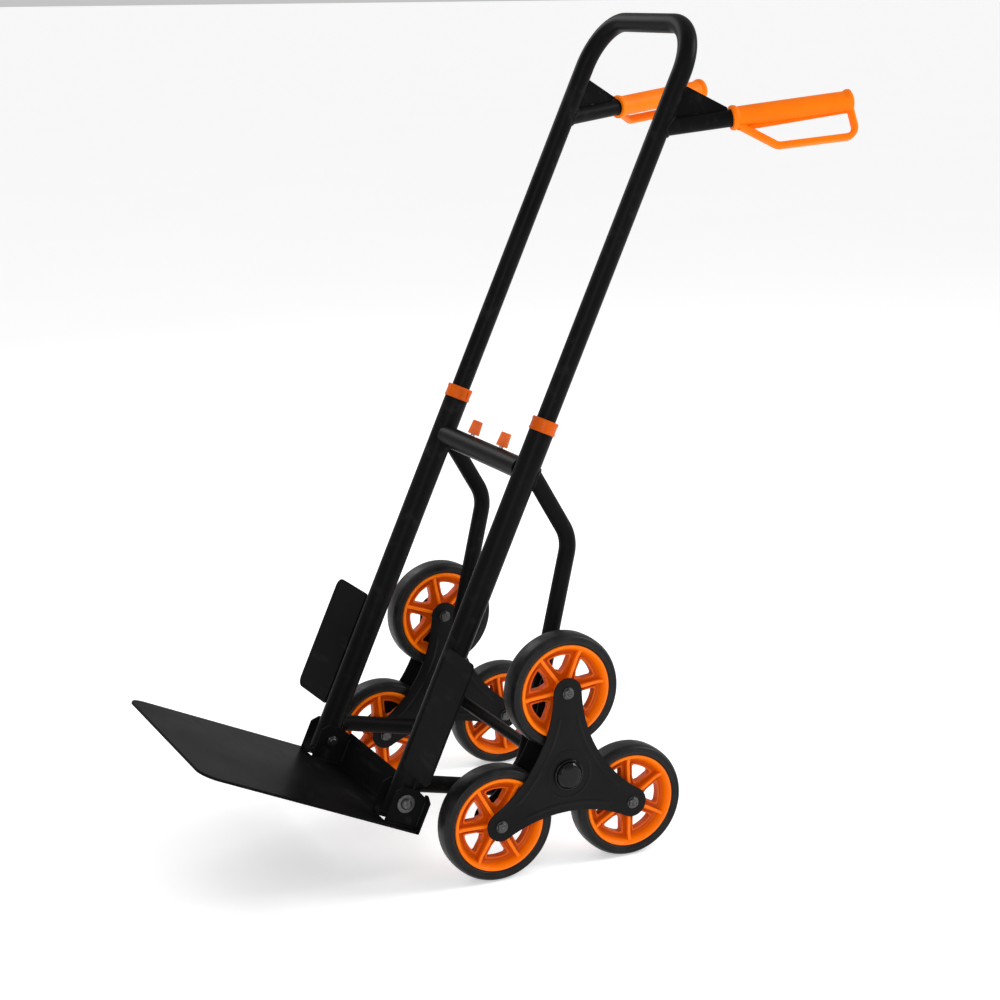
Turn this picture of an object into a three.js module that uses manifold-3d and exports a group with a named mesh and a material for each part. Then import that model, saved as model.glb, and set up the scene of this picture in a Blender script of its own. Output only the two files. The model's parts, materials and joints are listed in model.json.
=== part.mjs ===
// Folding stair-climbing hand truck: a telescoping tube frame, a folding toe plate,
// and two three-armed clusters of three wheels each. Millimetres, +Z up, the toe plate
// points to -Y and the grips to +Y. The origin is on the floor, under the middle of the
// truck's box. The frame leans back on its axle, with four wheels on the floor.
import * as THREE from 'three';
import { mergeVertices } from 'three/addons/utils/BufferGeometryUtils.js';
import Module from 'manifold-3d';

const wasm = await Module();
wasm.setup();

// ---- driving dimensions -----------------------------------------------------------------
// Heights on the frame are counted up the rails from the toe plate's hinge, depths run
// backward from the plane of the rails, and side is -1 on the left and 1 on the right.
const LEAN = 24.2; // degrees that the rails lean back
const GAP = 0.3; // clearance between pieces that touch
const SIDES = 16; // facets of a round piece
const SMALL_SIDES = 8; // facets of a bolt or a bolt hole

const RAIL_X = 129; // rail centre from the middle plane
const RAIL_R = 16;
const RAIL_WALL = 1.5;
const RAIL_BOTTOM = -19;
const RAIL_TOP = 508;
const CROSS_Z = 443; // axis of the cross tube
const CROSS_R = 14;
const CROSS_WALL = 1.5;

const SLIDER_R = 12.5; // sliding tube of the handle
const SLIDER_WALL = 1.5;
const SLIDER_BOTTOM = 395;
const SLIDE_TRAVEL = 340;
const LOOP_TOP = 1039; // axis of the handle's top bar
const LOOP_BEND = 65;
const BUSH_R = 14.2;
const BUSH_LENGTH = 20;

const STUB_R = 11;
const STUB_WALL = 1.5;
const STUB_Z = 901; // where the stub's axis meets the sliding tube's axis
const STUB_RISE = 30; // degrees above square to the rails
const STUB_SPLAY = 14.8; // degrees outward
const GUSSET_THICK = 3;
const GUSSET_CLIMB = 61; // up the sliding tube from the stub's axis
const GRIP_START = 93; // along the stub from the sliding tube's axis
const GRIP_LENGTH = 162;
const GRIP_R = 13.5;
const GRIP_FLANGE_R = 16;
const GRIP_FLANGE = 8;
const GUARD_R = 5;
const GUARD_TURNS = { left: 47, right: 20 }; // degrees outward from straight below each push-on grip
const GUARD_KNEE = 52; // along the grip from its start
const GUARD_DROP = 45; // guard's axis below the grip's axis at the knee
const GUARD_END_DROP = 47;
const GUARD_BEND = 14;

const BRACE_R = 11;
const BRACE_WALL = 1.5;
const BRACE_BEND = 48;
const BRACE_CORNERS = [[0, 449], [94, 382], [161, 54], [0, 20.5]]; // depth, height

const AXLE_DEPTH = 170.4;
const AXLE_HEIGHT = 104.3;
const AXLE_R = 8;
const AXLE_END = 216;
const WASHER_R = 13;
const WASHER_THICK = 2;

const ARM = 107.8; // wheel bolt from the axle
const ARM_END_R = 19.5;
const WAIST_R = 50; // middle of a plate's hollow side from the axle
const ARM_ANGLES = { top: 90, front: 210, rear: 330 };
const PLATE_GAP = 37;
const PLATE_THICK = 2.5;
const SLEEVE_R = 13;
const CAP_R = 20;
const CAP_DEPTH = 9;

const WHEEL_X = 190; // middle of a wheel from the middle plane
const WHEEL_SIDES = 20;
const TYRE_R = 75;
const TYRE_HALF = 16.5;
const RIM_R = 61;
const RIM_HALF = 14;
const RIM_WELL_R = 52;
const HUB_R = 13;
const HUB_HALF = 17.5;
const WEB_HALF = 3;
const SPOKES = 6;
const SPOKE_HALF = 8.5;
const WINDOW_OUT = 46;
const WINDOW_SHOULDER = 29;
const WINDOW_IN = 23;
const SPOKE_TURN = { // degrees of the first spoke at rest
  right_top: 6, right_front: 0, right_rear: 31, left_top: 41, left_front: 35, left_rear: 36,
};
const BOLT_R = 5;
const BOLT_HEAD_R = 7.2;
const BOLT_HEAD = 5.2;

const TOE_HALF = 160;
const TOE_REACH = 277; // front edge from the hinge
const TOE_TOP = -29;
const TOE_THICK = 3.5;
const TOE_CORNER = 24;
const FLANGE_BACK = 29;
const FLANGE_THICK = 3;
const FLANGE_TOP = 16;
const FLANGE_NOTCH = [14, 8]; // half width and floor height of the notch for a brace
const EAR_FRONT = -19;
const EAR_TOP = 20;
const EAR_OUT = 19.2; // inner face of an ear from the rail's axis
const EAR_THICK = 3;
const EAR_CHAMFER = 9;
const WELL_FRONT = -15; // opening in the plate below a rail's end
const WELL_BACK = 14;
const HINGE_R = 5;
const HINGE_WASHER_R = 12;
const HINGE_WASHER = 1.5;
const HINGE_HEAD_R = 7.2;
const HINGE_HEAD = 5;

const FENDER_IN = 138; // inner edge from the middle plane
const FENDER_OUT = 226;
const FENDER_LOW = 41;
const FENDER_HIGH = 202;
const FENDER_THICK = 3;
const FENDER_DEPTH = -14.5;
const FENDER_TURN = 4.2; // degrees, outer edge forward
const FENDER_CORNER = 12;

const COLLAR_R = 17.4;
const COLLAR_LOW = 495;
const COLLAR_HIGH = 512;
const COLLAR_LIP = 3.6;

const KNOB_X = 43.5;
const KNOB_LOW = 459;
const KNOB_HIGH = 478;
const KNOB_R = 8;
const KNOB_TOP_R = 6.8;
const KNOB_TRAVEL = 8;
const STEM_R = 3;
const STEM_TOP = 467;
const LATCH_R = 6;
const LATCH_BACK = 30; // inner end of a latch bolt from the middle plane
const LATCH_SHOULDER = 108;
const LATCH_TIP_R = 4;
const LATCH_TIP = 115.4;
const STOP_R = 10.8;
const STOP_HALF = 3;
const SPRING_R = 6;
const SPRING_WIRE = 0.9;
const SPRING_TURNS = 5;

const rad = THREE.MathUtils.degToRad;

// ---- materials: colour, roughness, metalness -----------------------------------------------
const FINISHES = {
  coat: [0x262626, 0.42, 0.3],
  stamped: [0x2b2b2b, 0.5, 0.3],
  orange: [0xff6a00, 0.45, 0],
  collar: [0xe15f05, 0.5, 0],
  knob: [0xeb6428, 0.5, 0],
  tyre: [0x1c1c1c, 0.75, 0],
  bolt: [0x55565a, 0.35, 0.9],
  cap: [0x101012, 0.12, 0.2],
  zinc: [0xa8abae, 0.35, 0.9],
  nylon: [0xd8d6cf, 0.6, 0],
};

function makeMaterial(finish) {
  const [color, roughness, metalness] = FINISHES[finish];
  return new THREE.MeshStandardMaterial({ color, roughness, metalness });
}

// ---- joining and cutting -------------------------------------------------------------------
function toSolid(geometry) {
  const bare = geometry.clone();
  for (const name of Object.keys(bare.attributes)) {
    if (name !== 'position') bare.deleteAttribute(name);
  }
  const merged = mergeVertices(bare, 1e-4);
  return new wasm.Manifold(new wasm.Mesh({
    numProp: 3,
    vertProperties: new Float32Array(merged.attributes.position.array),
    triVerts: new Uint32Array(merged.index.array),
  }));
}

function toGeometry(solid) {
  const mesh = solid.getMesh();
  const geometry = new THREE.BufferGeometry();
  geometry.setAttribute('position', new THREE.BufferAttribute(mesh.vertProperties.slice(), 3));
  geometry.setIndex(new THREE.BufferAttribute(mesh.triVerts.slice(), 1));
  geometry.computeVertexNormals();
  return geometry;
}

function cut(geometry, ...tools) {
  return toGeometry(tools.reduce((solid, tool) => solid.subtract(toSolid(tool)), toSolid(geometry)));
}

function join(...pieces) {
  return toGeometry(pieces.map(toSolid).reduce((whole, piece) => whole.add(piece)));
}

// ---- basic shapes --------------------------------------------------------------------------
// a piece turned about Z from [height, radius] pairs, which close on themselves unless the
// first one is on the axis
function turned(profile, sides = SIDES) {
  const points = profile.map(([z, r]) => new THREE.Vector2(r, z));
  if (profile[0][1] > 0) points.push(points[0].clone());
  const geometry = new THREE.LatheGeometry(points, sides);
  geometry.rotateX(Math.PI / 2);
  return geometry;
}

function turnedAlongX(profile, sides = SIDES) {
  return turned(profile, sides).rotateY(Math.PI / 2);
}

function turnedAlongY(profile, sides = SIDES) {
  return turned(profile, sides).rotateX(-Math.PI / 2);
}

function rod(low, high, radius) {
  return [[low, 0], [low, radius], [high, radius], [high, 0]];
}

function pipe(low, high, outer, inner) {
  return [[low, inner], [low, outer], [high, outer], [high, inner]];
}

function block([x0, y0, z0], [x1, y1, z1]) {
  const geometry = new THREE.BoxGeometry(x1 - x0, y1 - y0, z1 - z0);
  return geometry.translate((x0 + x1) / 2, (y0 + y1) / 2, (z0 + z1) / 2);
}

// a flat outline in depth and height, with its thickness along X around x
function slabAlongX(points, x, thick) {
  const shape = new THREE.Shape(points.map(([depth, height]) => new THREE.Vector2(depth, height)));
  const geometry = new THREE.ExtrudeGeometry(shape, { depth: thick, bevelEnabled: false });
  geometry.translate(0, 0, -thick / 2);
  geometry.applyMatrix4(new THREE.Matrix4().set(0, 0, 1, 0, 1, 0, 0, 0, 0, 1, 0, 0, 0, 0, 0, 1));
  return geometry.translate(x, 0, 0);
}

function circle(radius, sides) {
  const points = Array.from({ length: sides }, (_, i) => {
    const angle = (2 * Math.PI * i) / sides;
    return new THREE.Vector2(radius * Math.cos(angle), radius * Math.sin(angle));
  });
  return points;
}

// the same piece for the other side of the middle plane
function mirrored(geometry) {
  const flipped = geometry.index ? geometry.toNonIndexed() : geometry.clone();
  const { array, count } = flipped.attributes.position;
  for (let i = 0; i < count; i += 3) {
    for (let k = 0; k < 3; k += 1) {
      const second = array[3 * i + 3 + k];
      array[3 * i + 3 + k] = array[3 * i + 6 + k];
      array[3 * i + 6 + k] = second;
    }
  }
  for (let i = 0; i < 3 * count; i += 3) array[i] = -array[i];
  flipped.computeVertexNormals();
  return flipped;
}

function onSide(side, geometry) {
  return side > 0 ? geometry : mirrored(geometry);
}

// ---- bent tubes ----------------------------------------------------------------------------
// straight runs between corners with a round bend at each inner corner, sampled once per
// straight and several times per bend
class BentPath extends THREE.Curve {
  constructor(corners, bend, bendSteps) {
    super();
    this.stops = [corners[0].clone()];
    for (let i = 1; i < corners.length - 1; i += 1) {
      const back = corners[i - 1].clone().sub(corners[i]).normalize();
      const ahead = corners[i + 1].clone().sub(corners[i]).normalize();
      const half = back.angleTo(ahead) / 2;
      const towards = back.clone().add(ahead).normalize();
      const centre = corners[i].clone().addScaledVector(towards, bend / Math.sin(half));
      const from = corners[i].clone().addScaledVector(back, bend / Math.tan(half)).sub(centre);
      const to = corners[i].clone().addScaledVector(ahead, bend / Math.tan(half)).sub(centre);
      const axis = from.clone().cross(to).normalize();
      const angle = from.angleTo(to);
      for (let k = 0; k <= bendSteps; k += 1) {
        const spoke = from.clone().applyAxisAngle(axis, (angle * k) / bendSteps);
        this.stops.push(spoke.add(centre));
      }
    }
    this.stops.push(corners[corners.length - 1].clone());
    this.steps = this.stops.length - 1;
  }

  getPointAt(u) {
    return this.stops[Math.round(u * this.steps)].clone();
  }

  getTangentAt(u) {
    const i = Math.round(u * this.steps);
    const here = this.stops[i];
    const after = this.stops[Math.min(i + 1, this.steps)].clone().sub(here).normalize();
    const before = here.clone().sub(this.stops[Math.max(i - 1, 0)]).normalize();
    return after.add(before).normalize();
  }

  getPoint(t) {
    return this.getPointAt(t);
  }
}

function rodAlong(corners, bend, radius, sides, bendSteps) {
  const path = new BentPath(corners, bend, bendSteps);
  return new THREE.ExtrudeGeometry(new THREE.Shape(circle(radius, sides)), {
    extrudePath: path,
    steps: path.steps,
    bevelEnabled: false,
  });
}

function tubeAlong(corners, bend, outer, wall, sides, bendSteps) {
  const last = corners.length - 1;
  const longer = corners.map((corner) => corner.clone());
  longer[0].addScaledVector(corners[0].clone().sub(corners[1]).normalize(), 1);
  longer[last].addScaledVector(corners[last].clone().sub(corners[last - 1]).normalize(), 1);
  const skin = rodAlong(corners, bend, outer, sides, bendSteps);
  return cut(skin, rodAlong(longer, bend, outer - wall, sides, bendSteps));
}

// ---- fixed frame, in the rails' own directions ---------------------------------------------
function railSpace(side, radius = RAIL_R + GAP) {
  return turned(rod(RAIL_BOTTOM - 5, RAIL_TOP + 5, radius)).translate(side * RAIL_X, 0, 0);
}

function makeRail() {
  const hingeHole = turnedAlongX(rod(-RAIL_R - 2, RAIL_R + 2, HINGE_R + GAP), SMALL_SIDES);
  const latchHole = turnedAlongX(rod(-RAIL_R - 2, 0, LATCH_TIP_R + GAP), SMALL_SIDES);
  latchHole.translate(0, 0, CROSS_Z);
  const tube = turned(pipe(RAIL_BOTTOM, RAIL_TOP, RAIL_R, RAIL_R - RAIL_WALL));
  return cut(tube, hingeHole, latchHole).translate(RAIL_X, 0, 0);
}

function makeCrossTube() {
  const end = RAIL_X - BRACE_R - GAP;
  const tube = turnedAlongX(pipe(-end, end, CROSS_R, CROSS_R - CROSS_WALL));
  tube.translate(0, 0, CROSS_Z);
  const half = STEM_R + 1;
  const slot = block(
    [KNOB_X - KNOB_TRAVEL - half, -half, CROSS_Z + STEM_R],
    [KNOB_X + half, half, CROSS_Z + CROSS_R + STEM_R],
  );
  return cut(tube, slot, mirrored(slot), railSpace(1), railSpace(-1));
}

function makeBrace() {
  const corners = BRACE_CORNERS.map(([depth, height]) => new THREE.Vector3(RAIL_X, depth, height));
  return cut(tubeAlong(corners, BRACE_BEND, BRACE_R, BRACE_WALL, 10, 3), railSpace(1));
}

function makeAxle() {
  return turnedAlongX(rod(-AXLE_END, AXLE_END, AXLE_R), 12).translate(0, AXLE_DEPTH, AXLE_HEIGHT);
}

function makeWasher() {
  const start = WHEEL_X + PLATE_GAP / 2 + PLATE_THICK + GAP;
  const ring = turnedAlongX(pipe(start, start + WASHER_THICK, WASHER_R, AXLE_R + GAP), 12);
  return ring.translate(0, AXLE_DEPTH, AXLE_HEIGHT);
}

function makeFender() {
  const width = FENDER_OUT - FENDER_IN;
  const height = FENDER_HIGH - FENDER_LOW;
  const corner = FENDER_CORNER;
  const shape = new THREE.Shape();
  shape.moveTo(0, 0);
  shape.lineTo(width - corner, 0);
  shape.absarc(width - corner, corner, corner, -Math.PI / 2, 0, false);
  shape.absarc(width - corner, height - corner, corner, 0, Math.PI / 2, false);
  shape.lineTo(0, height);
  shape.closePath();
  const plate = new THREE.ExtrudeGeometry(shape, {
    depth: FENDER_THICK, bevelEnabled: false, curveSegments: 4,
  });
  plate.translate(0, 0, -FENDER_THICK / 2);
  plate.rotateX(Math.PI / 2);
  plate.rotateZ(-rad(FENDER_TURN));
  plate.translate(FENDER_IN, FENDER_DEPTH, FENDER_LOW);
  return cut(plate, railSpace(1));
}

function makeCollar() {
  const seat = COLLAR_HIGH - COLLAR_LIP;
  return turned([
    [COLLAR_LOW, RAIL_R + GAP],
    [COLLAR_LOW, COLLAR_R],
    [COLLAR_HIGH - 1.2, COLLAR_R],
    [COLLAR_HIGH, COLLAR_R - 1.2],
    [COLLAR_HIGH, SLIDER_R + GAP + 0.1],
    [seat, SLIDER_R + GAP + 0.1],
    [seat, RAIL_R + GAP],
  ]).translate(RAIL_X, 0, 0);
}

function earSpan(sign) {
  const middle = RAIL_X + sign * (EAR_OUT + EAR_THICK / 2);
  return [middle - EAR_THICK / 2, middle + EAR_THICK / 2];
}

function makeHingeBolt() {
  const washer = earSpan(1)[1] + GAP;
  const head = washer + HINGE_WASHER;
  const tail = earSpan(-1)[0] - GAP - HINGE_HEAD - 1.5;
  return turnedAlongX([
    [tail, 0],
    [tail, HINGE_R],
    [washer, HINGE_R],
    [washer, HINGE_WASHER_R],
    [head, HINGE_WASHER_R],
    [head, HINGE_HEAD_R],
    [head + HINGE_HEAD, HINGE_HEAD_R - 1],
    [head + HINGE_HEAD, 0],
  ], SMALL_SIDES);
}

function makeHingeNut() {
  const stop = earSpan(-1)[0] - GAP;
  const hexagon = turnedAlongX(rod(stop - HINGE_HEAD, stop, HINGE_HEAD_R + 0.8), 6);
  return cut(hexagon, turnedAlongX(rod(stop - HINGE_HEAD - 1, stop + 1, HINGE_R + GAP), SMALL_SIDES));
}

// ---- latch: two bolts in the cross tube, pulled in by the knobs ------------------------------
function makeLatchStop() {
  return turnedAlongX(rod(-STOP_HALF, STOP_HALF, STOP_R), SMALL_SIDES).translate(0, 0, CROSS_Z);
}

class SpringPath extends THREE.Curve {
  getPoint(t) {
    const start = STOP_HALF + SPRING_WIRE + GAP;
    const stop = LATCH_BACK - SPRING_WIRE - GAP;
    const angle = 2 * Math.PI * SPRING_TURNS * t;
    const x = start + (stop - start) * t;
    return new THREE.Vector3(x, SPRING_R * Math.cos(angle), CROSS_Z + SPRING_R * Math.sin(angle));
  }
}

function makeLatchSpring() {
  return new THREE.ExtrudeGeometry(new THREE.Shape(circle(SPRING_WIRE, 4)), {
    extrudePath: new SpringPath(),
    steps: SPRING_TURNS * 7,
    bevelEnabled: false,
  });
}

function makeLatchBolt() {
  const shaft = turnedAlongX([
    [LATCH_BACK, 0],
    [LATCH_BACK, LATCH_R],
    [LATCH_SHOULDER, LATCH_R],
    [LATCH_SHOULDER, LATCH_TIP_R],
    [LATCH_TIP, LATCH_TIP_R],
    [LATCH_TIP, 0],
  ], SMALL_SIDES).translate(0, 0, CROSS_Z);
  const stem = turned(rod(CROSS_Z, STEM_TOP, STEM_R), SMALL_SIDES).translate(KNOB_X, 0, 0);
  return join(shaft, stem);
}

function makeLatchKnob() {
  return turned([
    [STEM_TOP + GAP, 0],
    [STEM_TOP + GAP, STEM_R + GAP],
    [KNOB_LOW, STEM_R + GAP],
    [KNOB_LOW, KNOB_R],
    [KNOB_HIGH - 1.5, KNOB_TOP_R],
    [KNOB_HIGH, KNOB_TOP_R - 1.8],
    [KNOB_HIGH, 0],
  ], 12).translate(KNOB_X, 0, 0);
}

// ---- sliding handle ------------------------------------------------------------------------
function makeLoop() {
  const corners = [
    [-RAIL_X, SLIDER_BOTTOM], [-RAIL_X, LOOP_TOP], [RAIL_X, LOOP_TOP], [RAIL_X, SLIDER_BOTTOM],
  ].map(([x, z]) => new THREE.Vector3(x, 0, z));
  const tube = tubeAlong(corners, LOOP_BEND, SLIDER_R, SLIDER_WALL, 12, 5);
  const reach = RAIL_X - SLIDER_R / 2;
  const holes = [CROSS_Z, CROSS_Z + SLIDE_TRAVEL].map((height) => {
    const hole = turnedAlongX(rod(-reach, reach, LATCH_TIP_R + GAP), SMALL_SIDES);
    return hole.translate(0, 0, height);
  });
  return cut(tube, ...holes);
}

function makeGuideBush() {
  const ring = pipe(SLIDER_BOTTOM, SLIDER_BOTTOM + BUSH_LENGTH, BUSH_R, SLIDER_R + GAP);
  return turned(ring).translate(RAIL_X, 0, 0);
}

// The stub, gusset and grip are made with the stub along +Y, outward to +X, and the sliding
// tube crossing at the origin in the plane x = 0, STUB_RISE degrees off the Z axis.
function sliderSpace() {
  const space = turned(rod(-90, 90, SLIDER_R + GAP));
  return space.rotateX(-rad(STUB_RISE));
}

function makeStub() {
  const end = GRIP_START + GRIP_LENGTH - 12;
  return cut(turnedAlongY(pipe(0, end, STUB_R, STUB_R - STUB_WALL), 12), sliderSpace());
}

function makeGusset() {
  const up = [Math.sin(rad(STUB_RISE)), Math.cos(rad(STUB_RISE))];
  const edge = SLIDER_R + GAP;
  const alongSlider = (climb) => [climb * up[0] + edge * up[1], climb * up[1] - edge * up[0]];
  const floor = STUB_R + GAP;
  const low = (floor + edge * up[0]) / up[1];
  return slabAlongX([
    alongSlider(low), [GRIP_START - 3, floor], [GRIP_START - 3, floor + 2.5], alongSlider(GUSSET_CLIMB),
  ], 0, GUSSET_THICK);
}

function makeGrip(turn) {
  const end = GRIP_START + GRIP_LENGTH;
  const bore = STUB_R + GAP;
  const body = turnedAlongY([
    [end - 11, 0],
    [end - 11, bore],
    [GRIP_START, bore],
    [GRIP_START, GRIP_FLANGE_R - 1],
    [GRIP_START + 2, GRIP_FLANGE_R],
    [GRIP_START + GRIP_FLANGE, GRIP_FLANGE_R - 1],
    [GRIP_START + GRIP_FLANGE + 2, GRIP_R],
    [end - GRIP_FLANGE - 2, GRIP_R],
    [end - GRIP_FLANGE, GRIP_FLANGE_R - 1],
    [end - 2.5, GRIP_FLANGE_R - 1],
    [end, GRIP_FLANGE_R - 5],
    [end, 0],
  ]);
  const swing = ([along, drop]) => new THREE.Vector3(
    drop * Math.sin(rad(turn)), GRIP_START + along, -drop * Math.cos(rad(turn)),
  );
  const inside = GRIP_R - 1; // the guard's ends are buried in the flanges' plastic
  const guard = rodAlong([
    [GUARD_R, inside],
    [GUARD_KNEE, GUARD_DROP],
    [GRIP_LENGTH - GUARD_R, GUARD_END_DROP],
    [GRIP_LENGTH - GUARD_R, inside],
  ].map(swing), GUARD_BEND, GUARD_R, 6, 2);
  return join(body, cut(guard, turnedAlongY(rod(GRIP_START - 20, end, GRIP_R - 0.5))));
}

// ---- toe plate -----------------------------------------------------------------------------
function makeToePlate() {
  const bottom = TOE_TOP - TOE_THICK;
  const outline = new THREE.Shape();
  const [cornerX, cornerY] = [TOE_HALF - TOE_CORNER, TOE_CORNER - TOE_REACH];
  outline.moveTo(-TOE_HALF, FLANGE_BACK);
  outline.lineTo(-TOE_HALF, cornerY);
  outline.absarc(-cornerX, cornerY, TOE_CORNER, Math.PI, 1.5 * Math.PI, false);
  outline.absarc(cornerX, cornerY, TOE_CORNER, 1.5 * Math.PI, 2 * Math.PI, false);
  outline.lineTo(TOE_HALF, FLANGE_BACK);
  outline.closePath();
  const sheet = new THREE.ExtrudeGeometry(outline, {
    depth: TOE_THICK, bevelEnabled: false, curveSegments: 5,
  }).translate(0, 0, bottom);

  const bevel = 12;
  const upright = new THREE.Shape([
    [-TOE_HALF, bottom], [TOE_HALF, bottom], [TOE_HALF, FLANGE_TOP - bevel / 2],
    [TOE_HALF - bevel, FLANGE_TOP], [-TOE_HALF + bevel, FLANGE_TOP], [-TOE_HALF, FLANGE_TOP - bevel / 2],
  ].map(([x, z]) => new THREE.Vector2(x, z)));
  const flange = new THREE.ExtrudeGeometry(upright, { depth: FLANGE_THICK, bevelEnabled: false });
  flange.rotateX(Math.PI / 2).translate(0, FLANGE_BACK, 0);

  const ears = [];
  const openings = [];
  for (const side of [-1, 1]) {
    for (const sign of [-1, 1]) {
      ears.push(slabAlongX([
        [EAR_FRONT, bottom],
        [FLANGE_BACK, bottom],
        [FLANGE_BACK, EAR_TOP - EAR_CHAMFER],
        [FLANGE_BACK - 2 * EAR_CHAMFER, EAR_TOP],
        [EAR_FRONT + EAR_CHAMFER, EAR_TOP],
        [EAR_FRONT, EAR_TOP - EAR_CHAMFER],
      ], side * (RAIL_X + sign * (EAR_OUT + EAR_THICK / 2)), EAR_THICK));
    }
    const [half, floor] = FLANGE_NOTCH;
    const x = side * RAIL_X;
    openings.push(block([x - half, WELL_BACK, floor], [x + half, FLANGE_BACK + 1, EAR_TOP]));
    openings.push(block(
      [x - EAR_OUT + 1, WELL_FRONT, bottom - 1],
      [x + EAR_OUT - 1, WELL_BACK, TOE_TOP + 1],
    ));
    const far = EAR_OUT + EAR_THICK + 1;
    openings.push(turnedAlongX(rod(x - far, x + far, HINGE_R + GAP)));
  }
  return cut(join(sheet, flange, ...ears), ...openings);
}

// ---- wheel clusters, upright about the axle --------------------------------------------------
function armPoint(angle, radius = ARM) {
  return new THREE.Vector2(radius * Math.cos(rad(angle)), radius * Math.sin(rad(angle)));
}

function makeStarPlate(start) {
  // each hollow side is one arc that touches the round ends of two arms
  const across = ARM * Math.sin(rad(60));
  const along = ARM * Math.cos(rad(60));
  const sag = WAIST_R - along;
  const hollow = (sag ** 2 + across ** 2 - ARM_END_R ** 2) / (2 * (ARM_END_R - sag));
  const shape = new THREE.Shape();
  Object.values(ARM_ANGLES).forEach((angle) => {
    const end = armPoint(angle);
    const next = armPoint(angle + 60, WAIST_R + hollow);
    const last = armPoint(angle - 60, WAIST_R + hollow);
    const toNext = Math.atan2(next.y - end.y, next.x - end.x);
    const toLast = Math.atan2(last.y - end.y, last.x - end.x);
    shape.absarc(end.x, end.y, ARM_END_R, toLast, toNext, false);
    const after = armPoint(angle + 120);
    const begin = Math.atan2(end.y - next.y, end.x - next.x);
    const finish = Math.atan2(after.y - next.y, after.x - next.x);
    shape.absarc(next.x, next.y, hollow, begin, finish, true);
    shape.holes.push(new THREE.Path(circle(BOLT_R + GAP, SMALL_SIDES).map((p) => p.add(end))));
  });
  shape.closePath();
  shape.holes.push(new THREE.Path(circle(AXLE_R + 2 * GAP, 12)));
  const plate = new THREE.ExtrudeGeometry(shape, {
    depth: PLATE_THICK, bevelEnabled: false, curveSegments: 5,
  });
  plate.applyMatrix4(new THREE.Matrix4().set(0, 0, 1, 0, 1, 0, 0, 0, 0, 1, 0, 0, 0, 0, 0, 1));
  return plate.translate(start, 0, 0);
}

function makeSleeve() {
  const half = PLATE_GAP / 2 - GAP;
  return turnedAlongX(pipe(WHEEL_X - half, WHEEL_X + half, SLEEVE_R, AXLE_R + 2 * GAP), 12);
}

function makeCap() {
  const face = WHEEL_X + PLATE_GAP / 2 + PLATE_THICK;
  return turnedAlongX([
    [face + CAP_DEPTH - 2, 0],
    [face + CAP_DEPTH - 2.8, WASHER_R + 1],
    [face + 4, CAP_R - 3],
    [face + GAP, CAP_R - 3],
    [face + GAP, CAP_R],
    [face + 5, CAP_R],
    [face + CAP_DEPTH - 1, CAP_R - 3],
    [face + CAP_DEPTH, CAP_R / 2],
    [face + CAP_DEPTH, 0],
  ]);
}

function makeWheelBolt(angle) {
  const half = PLATE_GAP / 2 + PLATE_THICK + GAP;
  const bolt = turnedAlongX([
    [WHEEL_X - half - BOLT_HEAD, 0],
    [WHEEL_X - half - BOLT_HEAD, BOLT_HEAD_R - 1],
    [WHEEL_X - half, BOLT_HEAD_R],
    [WHEEL_X - half, BOLT_R],
    [WHEEL_X + half, BOLT_R],
    [WHEEL_X + half, BOLT_HEAD_R],
    [WHEEL_X + half + BOLT_HEAD, BOLT_HEAD_R - 1],
    [WHEEL_X + half + BOLT_HEAD, 0],
  ], SMALL_SIDES);
  const { x: depth, y: height } = armPoint(angle);
  return bolt.translate(0, depth, height);
}

function makeTyre() {
  const seat = RIM_R + GAP;
  return turnedAlongX([
    [-RIM_HALF, seat],
    [-TYRE_HALF, seat + 3.5],
    [-TYRE_HALF + 1, TYRE_R - 5],
    [-TYRE_HALF + 6, TYRE_R],
    [TYRE_HALF - 6, TYRE_R],
    [TYRE_HALF - 1, TYRE_R - 5],
    [TYRE_HALF, seat + 3.5],
    [RIM_HALF, seat],
  ], WHEEL_SIDES);
}

function makeRim(turn) {
  const bore = BOLT_R + GAP;
  const rim = turnedAlongX([
    [-HUB_HALF, bore],
    [-HUB_HALF, HUB_R],
    [-WEB_HALF, HUB_R],
    [-WEB_HALF, RIM_WELL_R],
    [-RIM_HALF, RIM_WELL_R + 4],
    [-RIM_HALF, RIM_R],
    [RIM_HALF, RIM_R],
    [RIM_HALF, RIM_WELL_R + 4],
    [WEB_HALF, RIM_WELL_R],
    [WEB_HALF, HUB_R],
    [HUB_HALF, HUB_R],
    [HUB_HALF, bore],
  ], WHEEL_SIDES);
  const step = 360 / SPOKES;
  const windows = Array.from({ length: SPOKES }, (_, i) => {
    const middle = turn + (i + 0.5) * step;
    const edge = (radius) => step / 2 - THREE.MathUtils.radToDeg(Math.asin(SPOKE_HALF / radius));
    const outline = [
      [middle, WINDOW_IN],
      [middle + edge(WINDOW_SHOULDER), WINDOW_SHOULDER],
      [middle + edge(WINDOW_OUT), WINDOW_OUT],
      [middle - edge(WINDOW_OUT), WINDOW_OUT],
      [middle - edge(WINDOW_SHOULDER), WINDOW_SHOULDER],
    ].map(([angle, radius]) => armPoint(angle, radius).toArray());
    return slabAlongX(outline, 0, 4 * WEB_HALF);
  });
  return cut(rim, ...windows);
}

// ---- assembly ------------------------------------------------------------------------------
function addMesh(group, name, geometry, finish) {
  const mesh = new THREE.Mesh(geometry, makeMaterial(finish));
  mesh.name = name;
  group.add(mesh);
}

const truck = new THREE.Group();
const frame = new THREE.Group();
const axlePoint = new THREE.Vector3(0, 0, TYRE_R + ARM * Math.sin(rad(30)));
frame.rotation.x = -rad(LEAN);
frame.position.set(0, AXLE_DEPTH, AXLE_HEIGHT).applyEuler(frame.rotation).negate().add(axlePoint);
truck.add(frame);

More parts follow.
